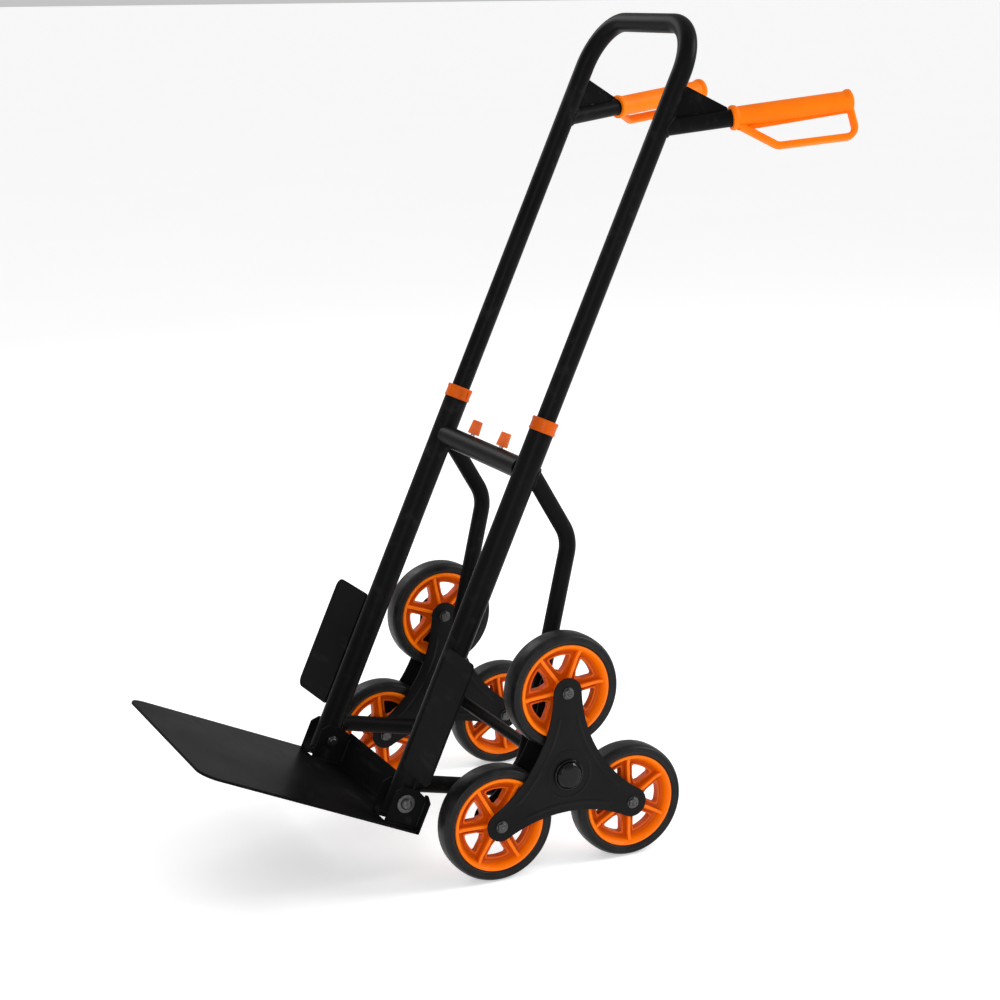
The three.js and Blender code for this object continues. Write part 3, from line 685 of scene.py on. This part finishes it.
def hex_head(bm, start, height, across_flats, matrix):
    """A hexagon with chamfered corners: the head's own cone cuts them"""
    half, uncut = across_flats / 2, 99
    sides = []
    for k in range(72):
        angle = 2 * pi * k / 72
        sides.append((angle, half / cos((angle + pi / 6) % (pi / 3) - pi / 6)))
    cone = [(0, uncut), (height - 1.4, uncut), (height - 0.5, half * 1.06), (height, half * 0.95)]
    rings = []
    for x, limit in cone:
        ring = [(min(flat, limit) * cos(a), min(flat, limit) * sin(a)) for a, flat in sides]
        rings.append(loop(bm, ring, matrix @ Matrix.Translation((start + x, 0, 0)) @ ALONG_X))
    for one, two in zip(rings, rings[1:]):
        bmesh.ops.bridge_loops(bm, edges=one + two)
    bmesh.ops.contextual_create(bm, geom=rings[0])
    bmesh.ops.contextual_create(bm, geom=rings[-1])


def hinge_bolt(hand, side):
    """Through both ears and the rail: a domed head on a washer outside, a nut inside"""
    bm = bmesh.new()
    washer_r, head_r, shank_r = 12, 7.2, 5
    outside = RAIL_X + EAR_OUT + EAR_THICK + BOLT_FIT
    inside = RAIL_X - EAR_OUT - EAR_THICK - BOLT_FIT
    turned(bm, rounded([
        (outside, 0), (outside, washer_r, 0.3), (outside + 1.5, washer_r, 0.6),
        (outside + 1.5, head_r), (outside + 3.6, head_r, 1.0), (outside + 6.1, 5.2, 1.6),
        (outside + 6.3, 1.9, 0.3), (outside + 5.8, 1.5, 0.2), (outside + 5.8, 0),
    ], 4, False), 56)
    turned(bm, [
        (inside - 7, 0), (inside - 7, 3.9), (inside - 6, shank_r), (outside + 0.2, shank_r),
        (outside + 0.2, 0),
    ], 32)
    nodes = [f"{hand}_hinge_bolt"]
    finished(bm, f"{hand}_hinge_pin", "bolt_steel", "frame", nodes, RAILS, side)
    bm = bmesh.new()
    nut_height, nut_flats = 5, 13.8
    inwards = Matrix.Translation((inside, 0, 0)) @ Matrix.Rotation(pi, 4, "Z")
    hex_head(bm, 0, nut_height, nut_flats, inwards)
    nodes = [f"{hand}_hinge_nut"]
    finished(bm, f"{hand}_hinge_lock_nut", "bolt_steel", "frame", nodes, RAILS, side)


# ---- latch -----------------------------------------------------------------------------
def latch(hand, side):
    """A fluted knob on a stem, and the pin it draws along the cross bar"""
    bm = bmesh.new()
    low, top, knob_r, top_r = 459, 477.8, 8, 6.9
    stem_top, stem_r = 467, 3
    bore_top, bore_r = stem_top + 0.3, stem_r + 0.3
    flutes, flute_depth = 12, 0.075
    knob = rounded([
        (bore_top, 0), (bore_top, bore_r), (low, bore_r, 0.3), (low, knob_r, 0.9),
        (top, top_r, 1.6), (top, 0),
    ], 4, False)
    whole = turned(bm, knob, 60, upright(KNOB_X))
    axis = Vector((KNOB_X, 0, 0))
    for vert in whole:
        spoke = Vector((vert.co.x, vert.co.y, 0)) - axis
        if spoke.length > 4.5 and low + 1 < vert.co.z < top - 1.3:
            flute = 0.5 + 0.5 * cos(flutes * atan2(spoke.y, spoke.x))
            spoke *= 1 - flute_depth * flute**3
            vert.co.xy = (axis + spoke).xy
    nodes = [f"{hand}_latch_knob"]
    finished(bm, f"{hand}_knob", "knob_orange", f"{hand}_latch", nodes, RAILS, side)

    bm = bmesh.new()
    body_r, pin_r = 6, 4
    turned(bm, [
        (30, 0), (30, 5.2), (30.8, body_r), (107.2, body_r), (108, pin_r), (114.8, pin_r),
        (115.4, 3.2), (115.4, 0),
    ], 32, Matrix.Translation((0, 0, CROSS_Z)))
    stem = [(CROSS_Z, 0), (CROSS_Z, stem_r), (stem_top, stem_r), (stem_top, 0)]
    turned(bm, stem, 28, upright(KNOB_X))
    nodes = [f"{hand}_latch_bolt"]
    finished(bm, f"{hand}_latch_pin", "zinc_steel", f"{hand}_latch", nodes, RAILS, side)


# ---- sliding handle --------------------------------------------------------------------
def handle_loop():
    bm = bmesh.new()
    corners = [(-RAIL_X, SLIDER_END), (-RAIL_X, LOOP_TOP), (RAIL_X, LOOP_TOP), (RAIL_X, SLIDER_END)]
    tube(bm, [Vector((x, 0, z)) for x, z in corners], LOOP_BEND, SLIDER_R, sides=48, turns=24)
    finished(bm, "handle_tube", "tube_coat", "handle", ["handle_loop"], RAILS)


def arm(hand, side):
    """The stub, its gusset and their welds"""
    stub_end = GRIP_START + GRIP_LENGTH - 14
    bm = bmesh.new()
    tube(bm, [Vector((0, 0, 0)), Vector((0, stub_end, 0))], 0, STUB_R, sides=40)
    nodes = [f"{hand}_handle_stub"]
    finished(bm, f"{hand}_stub_tube", "tube_coat", "handle", nodes, ARM, side, 0.3)

    thick, height = 3, 61
    slant = Vector((0, sin(STUB_RISE), cos(STUB_RISE)))
    square = Vector((0, cos(STUB_RISE), -sin(STUB_RISE)))
    skin = SLIDER_R + 0.3
    low = (STUB_R + 0.3 + skin * slant.y) / slant.z
    foot, crown = slant * low + square * skin, slant * height + square * skin
    tail = GRIP_START - 3
    bm = bmesh.new()
    outline = rounded([
        (foot.y, foot.z - 0.8), (tail, STUB_R - 0.5), (tail, STUB_R + 2.8, 1),
        (crown.y, crown.z, 1.5),
    ], 4)
    plate(bm, outline, thick, Matrix.Translation((-thick / 2, 0, 0)) @ ALONG_X)
    nodes = [f"{hand}_gusset"]
    finished(bm, f"{hand}_gusset_plate", "plate_coat", "handle", nodes, ARM, side, 0.5)

    bm = bmesh.new()
    nothing = Vector((0, 0, 0))
    round_stub = saddle(nothing, Vector((0, 1, 0)), STUB_R, nothing, slant, SLIDER_R, 84)
    bead(bm, round_stub, 1.9, closed=True)
    run, top = tail - foot.y, STUB_R + 0.2
    for x in (-1.9, 1.9):
        for first, last in ((0.0, 0.18), (0.82, 0.98)):
            a, b = foot.lerp(crown, first), foot.lerp(crown, last)
            bead(bm, straight((x, a.y, a.z), (x, b.y, b.z)), 1.4)
        for first, last in ((0.3, 0.42), (0.86, 0.98)):
            near, far = foot.y + run * first, foot.y + run * last
            bead(bm, straight((x, near, top), (x, far, top)), 1.3)
    finished(bm, f"{hand}_arm_welds", "weld_coat", "handle", [], ARM, side)


def grip(hand, side):
    """Moulded grip: a ringed flange at each end, a guard strap and a thin web below it"""
    bm = bmesh.new()
    start, end = GRIP_START, GRIP_START + GRIP_LENGTH
    flange, bore = GRIP_R + 2.4, STUB_R + 0.1
    turn = GUARD_TURNS[hand]
    turned(bm, rounded([
        (end - 13, 0), (end - 13, bore), (start, bore, 0.3), (start, flange - 0.6, 1.2),
        (start + 3.4, flange, 1.0), (start + 6.4, flange - 0.5, 1.0), (start + 8.6, GRIP_R, 1.6),
        (start + 30, GRIP_R + 0.15, 9), (end - 34, GRIP_R + 0.1, 9), (end - 11, GRIP_R, 2),
        (end - 9, flange - 1.2, 1), (end - 7, flange - 0.4, 1), (end - 3.4, flange - 0.4, 1.2),
        (end - 0.9, flange - 4.6, 1.4), (end - 0.4, 7.5, 0.5), (end - 1.4, 6.6, 0.4), (end - 1.4, 0),
    ], 5, False), 72, Matrix.Rotation(pi / 2, 4, "Z"))

    def below(along, drop):
        return Vector((drop * sin(turn), start + along, -drop * cos(turn)))

    wide, deep, round_r = 6, 4, 3
    strap = rounded([
        (-wide, -deep, round_r), (wide, -deep, round_r), (wide, deep, round_r), (-wide, deep, round_r),
    ], 4)
    root, front, back = 10, 7, 157
    corners = [
        below(front, root), below(GUARD_KNEE, GUARD_DROP), below(back, GUARD_END_DROP),
        below(back, root),
    ]
    bar(bm, corners, GUARD_BEND, strap, 8, Vector((cos(turn), 0, sin(turn))))

    thick = 2.4
    web = rounded([
        (start + 5, 0), (start + 5, 17.4, 2), (start + 30, 18.2, 3), (end - 10, 15.2, 2), (end - 6, 0),
    ], 3)
    hanging = Matrix(((0, 0, 1, 0), (1, 0, 0, 0), (0, -1, 0, 0), (0, 0, 0, 1)))
    web_space = Matrix.Rotation(-turn, 4, "Y") @ hanging @ Matrix.Translation((0, 0, -thick / 2))
    plate(bm, web, thick, web_space)
    nodes = [f"{hand}_grip"]
    finished(bm, f"{hand}_grip_moulding", "grip_orange", "handle", nodes, ARM, side, 0.35)


# ---- toe plate -------------------------------------------------------------------------
def toe_plate():
    """Folded sheet: a wide plate, an upright flange behind the rails and two ears at each rail"""
    bottom = TOE_TOP - TOE_THICK
    back, flange_top, flange = 29, 16, 3
    well_front, well_back = -15, 14
    outline = rounded([
        (-TOE_HALF, back - 1), (-TOE_HALF, -TOE_REACH, 24), (TOE_HALF, -TOE_REACH, 24),
        (TOE_HALF, back - 1),
    ], 12)
    wells = []
    for side in (-1, 1):
        near, far = sorted((side * (RAIL_X - EAR_OUT + 1), side * (RAIL_X + EAR_OUT - 1)))
        wells.append(rounded([
            (near, well_front, 2), (far, well_front, 2), (far, well_back, 2), (near, well_back, 2),
        ], 3))
    bm = bmesh.new()
    plate(bm, outline, TOE_THICK, Matrix.Translation((0, 0, bottom)), wells)

    notch, notch_half, shoulder = 8, 14, 12
    crest = [
        (-TOE_HALF, bottom + 0.5), (-TOE_HALF, flange_top - 6, 2),
        (-TOE_HALF + shoulder, flange_top, 3),
    ]
    for side in (-1, 1):
        near, far = side * RAIL_X - notch_half, side * RAIL_X + notch_half
        crest += [(near, flange_top, 2), (near, notch, 3), (far, notch, 3), (far, flange_top, 2)]
    crest += [
        (TOE_HALF - shoulder, flange_top, 3), (TOE_HALF, flange_top - 6, 2), (TOE_HALF, bottom + 0.5),
    ]
    stand = Matrix.Translation((0, back, 0)) @ Matrix.Rotation(pi / 2, 4, "X")
    plate(bm, rounded(crest, 4), flange, stand)

    inner = back - flange
    fold = rounded([
        (inner - 4, TOE_TOP - 1), (inner - 4, TOE_TOP), (inner, TOE_TOP, 3.9), (inner, TOE_TOP + 4),
        (back - 1, TOE_TOP + 4), (back - 1, TOE_TOP - 1),
    ], 6)
    heel = rounded([(back - 6, bottom), (back, bottom, 3), (back, bottom + 6), (back - 6, bottom + 6)], 6)
    for profile in (fold, heel):
        plate(bm, profile, 2 * TOE_HALF, Matrix.Translation((-TOE_HALF, 0, 0)) @ ALONG_X)

    ear_top, ear_front, hole_r = 20, -19, 5.3
    ear = rounded([
        (ear_front, bottom + 0.5, 2), (back - 0.5, bottom + 0.5), (back - 0.5, 11, 2),
        (11, ear_top, 3), (-10, ear_top, 3), (ear_front, 11, 3),
    ], 4)
    for side in (-1, 1):
        for sign in (-1, 1):
            x = side * (RAIL_X + sign * (EAR_OUT + EAR_THICK / 2)) - EAR_THICK / 2
            place = Matrix.Translation((x, 0, 0)) @ ALONG_X
            plate(bm, ear, EAR_THICK, place, [circle(hole_r, 28)])
    finished(bm, "toe_plate_sheet", "plate_coat", "toe", ["toe_plate"], RAILS, 1, 0.5, 3)

    bm = bmesh.new()
    throat, floor_z, wall_y = 1.7, TOE_TOP + 0.4, inner - 0.4
    for side in (-1, 1):
        for sign in (-1, 1):
            x = side * (RAIL_X + sign * (EAR_OUT + EAR_THICK)) + side * sign * 0.4
            bead(bm, straight((x, -17, floor_z), (x, 23, floor_z)), throat)
            bead(bm, straight((x, wall_y, TOE_TOP + 3), (x, wall_y, 9)), throat)
    finished(bm, "toe_plate_welds", "weld_coat", "toe", [], RAILS)


# ---- wheel clusters --------------------------------------------------------------------
def star_hollow():
    """Radius of a star's hollow side, and how far its centre is from the axle"""
    across, along = WHEEL_ARM * sin(pi / 3), WHEEL_ARM * cos(pi / 3)
    sag = STAR_WAIST - along
    radius = (sag**2 + across**2 - STAR_END_R**2) / (2 * (STAR_END_R - sag))
    return radius, STAR_WAIST + radius


def sweep_angles(first, last, count):
    return [first + (last - first) * k / count for k in range(count + 1)]


def star_outline():
    """Three round ends, joined by three hollow arcs that touch them"""
    hollow, away = star_hollow()
    reach = degrees(atan2(WHEEL_ARM * sin(pi / 3), away - WHEEL_ARM * cos(pi / 3)))
    points = []
    for angle in ARMS.values():
        end, centre = polar(angle, WHEEL_ARM), polar(angle + 60, away)
        facing_hollow = degrees(atan2(centre[1] - end[1], centre[0] - end[0])) - angle
        lean = (facing_hollow + 180) % 360 - 180
        for turn in sweep_angles(angle - lean, angle + lean, 22):
            x, y = polar(turn, STAR_END_R)
            points.append((end[0] + x, end[1] + y))
        for turn in sweep_angles(angle + 240 + reach, angle + 240 - reach, 26)[1:-1]:
            x, y = polar(turn, hollow)
            points.append((centre[0] + x, centre[1] + y))
    return points


def star(hand, side, where, start, outward):
    """A pressed three-armed plate with a raised bead along each hollow side"""
    bm = bmesh.new()
    hollow, away = star_hollow()
    holes = [circle(AXLE_R + 0.3, 32)]
    holes += [circle(5.3, 24, polar(angle, WHEEL_ARM)) for angle in ARMS.values()]
    matrix = Matrix.Translation((start, 0, 0)) @ ALONG_X
    plate(bm, star_outline(), STAR_THICK, matrix, holes)
    face = start + STAR_THICK if outward > 0 else start
    ridge = [
        (-4.2, -1.2), (-4.2, -0.35), (-3.2, -0.05), (-2.0, 0.55), (-0.8, 0.95), (0.8, 0.95),
        (2.0, 0.55), (3.2, -0.05), (4.2, -0.35), (4.2, -1.2),
    ]
    span, inset, runout = 19.5, 11, 2.4
    for angle in ARMS.values():
        centre = Vector((0, *polar(angle + 60, away)))
        begin = radians(angle + 240 - span)
        spoke = Vector((0, cos(begin), sin(begin)))
        verts = []
        for across, height in ridge:
            lifted = Vector((face + outward * height, 0, 0))
            verts.append(bm.verts.new(lifted + centre + spoke * (hollow + inset + across)))
        cap = bm.faces.new(verts)
        bmesh.ops.spin(
            bm, geom=[cap], cent=centre, axis=(1, 0, 0), dvec=(0, 0, 0), angle=radians(2 * span),
            steps=40, use_merge=False, use_normal_flip=False, use_duplicate=False,
        )
        for vert in island(verts[0]):
            off = vert.co - centre
            along = degrees(atan2(off.z, off.y)) - (angle + 240)
            short = span - abs((along + 180) % 360 - 180)
            if short < runout:
                vert.co.x -= outward * (1 - short / runout)
    ring = rounded([
        (-1.2, 28.5), (-0.1, 28.5, 0.5), (0.55, 30, 1.2), (0.55, 32, 1.2), (-0.1, 33.5, 0.5),
        (-1.2, 33.5),
    ], 3)
    turned(bm, [(face + outward * x, r) for x, r in ring], 72)
    finished(
        bm, f"{hand}_{where}_star_plate", "stamped_sheet", f"{hand}_cluster",
        [f"{hand}_{where}_star"], AXLE, side, 0.5,
    )


def hub_cap(hand, side):
    """Glossy push-on cap: a flange, a groove and a shallow dished dome"""
    bm = bmesh.new()
    face = WHEEL_X + STAR_GAP / 2 + STAR_THICK + BOLT_FIT
    turned(bm, rounded([
        (face + 5.4, 0), (face + 5.4, 14.4), (face, 15.4), (face, 20, 0.4), (face + 2.4, 20, 1.0),
        (face + 3.0, 18.3, 0.3), (face + 1.9, 17.6, 0.2), (face + 4.4, 16.9, 1.4), (face + 7.4, 14.4, 2.4),
        (face + 8.4, 9, 5), (face + 8.7, 0),
    ], 6, False), 72)
    nodes = [f"{hand}_hub_cap"]
    finished(bm, f"{hand}_push_cap", "cap_black", f"{hand}_cluster", nodes, AXLE, side)


def wheel_bolt(hand, side, spot, angle):
    """Washer and hexagon head inside, washer and lock nut with the thread's end outside"""
    bm = bmesh.new()
    centre = Matrix.Translation((0, *polar(angle, WHEEL_ARM)))
    half = STAR_GAP / 2 + STAR_THICK + BOLT_FIT
    outer, inner = WHEEL_X + half, WHEEL_X - half
    shank_r, washer_r, washer, flats = 5, 7.9, 0.9, 12.4
    turned(bm, [(inner, 0), (inner, shank_r), (outer, shank_r), (outer, 0)], 28, centre)
    for x, way in ((outer, 1), (inner, -1)):
        ring = rounded([(0, 0), (0, washer_r, 0.2), (washer, washer_r, 0.4), (washer, 0)], 2, False)
        turned(bm, [(x + way * w, r) for w, r in ring], 40, centre)
    hex_head(bm, outer + washer, 3.0, flats, centre)
    lock = rounded([
        (3.4, 0), (3.4, 5.9, 0.4), (4.7, 5.3, 0.9), (4.7, 3.6, 0.4), (4.2, 3.3, 0.2),
        (4.2, 3.0, 0.2), (4.9, 2.7, 0.4), (4.9, 0),
    ], 3, False)
    turned(bm, [(outer + x, r) for x, r in lock], 40, centre)
    flip = centre @ Matrix.Translation((2 * inner, 0, 0)) @ Matrix.Rotation(pi, 4, "Z")
    hex_head(bm, inner + washer, 4.2, flats, flip)
    finished(
        bm, f"{hand}_{spot}_axle_bolt", "bolt_steel", f"{hand}_cluster",
        [f"{hand}_{spot}_wheel_bolt"], AXLE, side,
    )


def wheel_space(name):
    return Matrix.Translation(joints[f"{name}_wheel_spin"]["pos_m"]) @ METRES


def tyre(name):
    """Solid rubber tread with rounded shoulders and fine rings on each wall"""
    bm = bmesh.new()
    half, seat = 16.5, RIM_R + 0.3
    wall = [(-14, seat), (-15.6, seat + 1.6, 0.8), (-half, seat + 4.2, 1.5)]
    for ring in (67.2, 69.4):
        wall += [
            (-half, ring - 0.5, 0.2), (-half + 0.35, ring - 0.2, 0.15),
            (-half + 0.35, ring + 0.2, 0.15), (-half, ring + 0.5, 0.2),
        ]
    wall += [(-half, TYRE_R - 3.2, 3.4), (-half + 6.5, TYRE_R - 0.5, 9), (0, TYRE_R + 0.25, 60)]
    other = [(-corner[0], *corner[1:]) for corner in wall[:-1]][::-1]
    turned(bm, rounded(wall + other, 5), 120)
    body = f"{name}_wheel"
    finished(bm, f"{name}_tread", "tyre_rubber", body, [f"{name}_tyre"], wheel_space(name))


def window_outline(middle, grow):
    """A wheel's window: an arc outside, sides along the spokes and a point towards the hub"""
    out, shoulder, tip = 45.6 + grow, 29.5, 22.5 - grow * 1.3
    side_gap = 8.4 - grow
    edge = [30 - degrees(asin(side_gap / radius)) for radius in (out, shoulder)]
    arc = [polar(middle + turn, out) for turn in sweep_angles(-edge[0], edge[0], 8)]
    left, right = polar(middle + edge[1], shoulder), polar(middle - edge[1], shoulder)
    corners = [
        (*right, 2.4), (*arc[0], 2.2), *arc[1:-1], (*arc[-1], 2.2), (*left, 2.4),
        (*polar(middle, tip), 2),
    ]
    return rounded(corners, 4)


def rim(name):
    """Six-spoked moulded wheel: rounded ribs on the spokes and a raised lip round each window"""
    bm = bmesh.new()
    lip, web = 15.5, 3.0
    half = [
        (lip - 1.2, RIM_R, 0.4), (lip, RIM_R - 0.6, 0.6), (lip, 57.6, 1.6), (lip - 3.2, 55.4, 1.4),
        (5.2, 52.2, 2), (web, 49.6, 1),
    ]
    profile = half + [(-x, r, f) for x, r, f in reversed(half)]
    turned(bm, rounded(profile, 4), 120)
    bore, hub_r, hub_end = 5.3, 12, 17.5
    turned(bm, rounded([
        (-hub_end, bore), (-hub_end, hub_r, 0.8), (-12, 13, 3), (0, 13.4, 3), (12, 13, 3),
        (hub_end, hub_r, 0.8), (hub_end, bore),
    ], 4), 64)
    first_spoke = SPOKE_TURN[name]
    middles = [first_spoke + (k + 0.5) * 360 / SPOKES for k in range(SPOKES)]
    holes = [circle(9, 40), *[window_outline(middle, 0) for middle in middles]]
    plate(bm, circle(51, 120), 2 * web, Matrix.Translation((-web, 0, 0)) @ ALONG_X, holes)
    rise, lip_width = 2.6, 2.3
    for middle in middles:
        inside, outside = window_outline(middle, -0.05), window_outline(middle, lip_width)
        matrix = Matrix.Translation((-web - rise, 0, 0)) @ ALONG_X
        plate(bm, outside, 2 * (web + rise), matrix, [inside])
    thick = 4.4
    rib = rounded([(9, -0.2), (9, 12.6, 1), (24, 11.6, 8), (47, 10.4, 8), (56, 12.6, 1), (56, -0.2)], 4)
    for k in range(SPOKES):
        turn = Matrix.Rotation(radians(first_spoke + 360 * k / SPOKES), 4, "X")
        for way in (1, -1):
            stand = Matrix(((0, way, 0, 0), (1, 0, 0, 0), (0, 0, 1, 0), (0, 0, 0, 1)))
            plate(bm, rib, thick, turn @ stand @ Matrix.Translation((0, 0, -thick / 2)))
    finished(
        bm, f"{name}_wheel_centre", "wheel_orange", f"{name}_wheel", [f"{name}_rim"],
        wheel_space(name), 1, 0.8, 3,
    )


# ---- build -----------------------------------------------------------------------------
cross_tube()
axle()
handle_loop()
toe_plate()
for hand, side in (("left", -1), ("right", 1)):
    rail(hand, side)
    brace(hand, side)
    frame_welds(hand, side)
    fender(hand, side)
    collar(hand, side)
    hinge_bolt(hand, side)
    latch(hand, side)
    arm(hand, side)
    grip(hand, side)
    star(hand, side, "inner", WHEEL_X - STAR_GAP / 2 - STAR_THICK, -1)
    star(hand, side, "outer", WHEEL_X + STAR_GAP / 2, 1)
    hub_cap(hand, side)
    for spot, angle in ARMS.items():
        wheel_bolt(hand, side, spot, angle)
        tyre(f"{hand}_{spot}")
        rim(f"{hand}_{spot}")
    for node, finish in (
        ("latch_spring", "zinc_steel"), ("guide_bush", "seat_nylon"),
        ("star_sleeve", "zinc_steel"), ("axle_washer", "zinc_steel"),
    ):
        frame["nodes"][f"{hand}_{node}"].material_slots[0].material = MATERIALS[finish]
frame["nodes"]["latch_stop"].material_slots[0].material = MATERIALS["seat_nylon"]


# ---- floor, light and camera -----------------------------------------------------------
def paper_floor():
    finish = Finish("floor_paper", Roughness=0.9, Specular_IOR_Level=0.1, Emission_Strength=0.42)
    finish.shader.inputs["Emission Color"].default_value = grey(1)
    tone = finish.noise(1.2, 2)
    finish.drive("Base Color", finish.blend(tone, grey(0.92), grey(0.95)))
    bm = bmesh.new()
    reach = 150
    bmesh.ops.create_grid(bm, x_segments=1, y_segments=1, size=reach)
    mesh = bpy.data.meshes.new("floor")
    bm.to_mesh(mesh)
    bm.free()
    mesh.materials.append(finish.material)
    floor = bpy.data.objects.new("floor", mesh)
    bpy.context.scene.collection.objects.link(floor)


def softbox(name, at, aim, size, power):
    lamp = bpy.data.lights.new(name, "AREA")
    lamp.shape = "RECTANGLE"
    lamp.size, lamp.size_y = size
    lamp.energy = power
    light = bpy.data.objects.new(name, lamp)
    light.location = at
    light.rotation_euler = (Vector(aim) - Vector(at)).to_track_quat("-Z", "Y").to_euler()
    bpy.context.scene.collection.objects.link(light)


def room_light(strength):
    world = bpy.data.worlds.new("studio")
    world.use_nodes = True
    backdrop = world.node_tree.nodes["Background"]
    backdrop.inputs["Color"].default_value = (1, 1, 1, 1)
    backdrop.inputs["Strength"].default_value = strength
    bpy.context.scene.world = world


def camera():
    """Low on the truck's right front quarter, level with the top bar"""
    azimuth, elevation, roll = radians(64.65), radians(13.5), radians(-0.5)
    lens = bpy.data.cameras.new("camera")
    lens.lens = 77.0
    lens.sensor_width = 36
    lens.clip_end = 400
    view = bpy.data.objects.new("camera", lens)
    turn = Matrix.Rotation(azimuth, 4, "Z") @ Matrix.Rotation(pi / 2 - elevation, 4, "X")
    place = RAILS @ Vector((2479.4, -1291.5, 510.6))
    view.matrix_world = Matrix.Translation(place) @ turn @ Matrix.Rotation(roll, 4, "Z")
    bpy.context.scene.collection.objects.link(view)
    bpy.context.scene.camera = view


paper_floor()
room_light(0.55)
softbox("key", (0.9, 3.0, 2.2), (0, 0, 0.3), (1.4, 1.4), 62)
softbox("front", (3.2, -2.0, 1.8), (0, 0, 0.3), (1.6, 1.6), 40)
softbox("rear", (-2.4, -0.6, 2.2), (0, 0.1, 0.3), (1.4, 1.4), 24)
bpy.context.scene.view_settings.view_transform = "Standard"
camera()
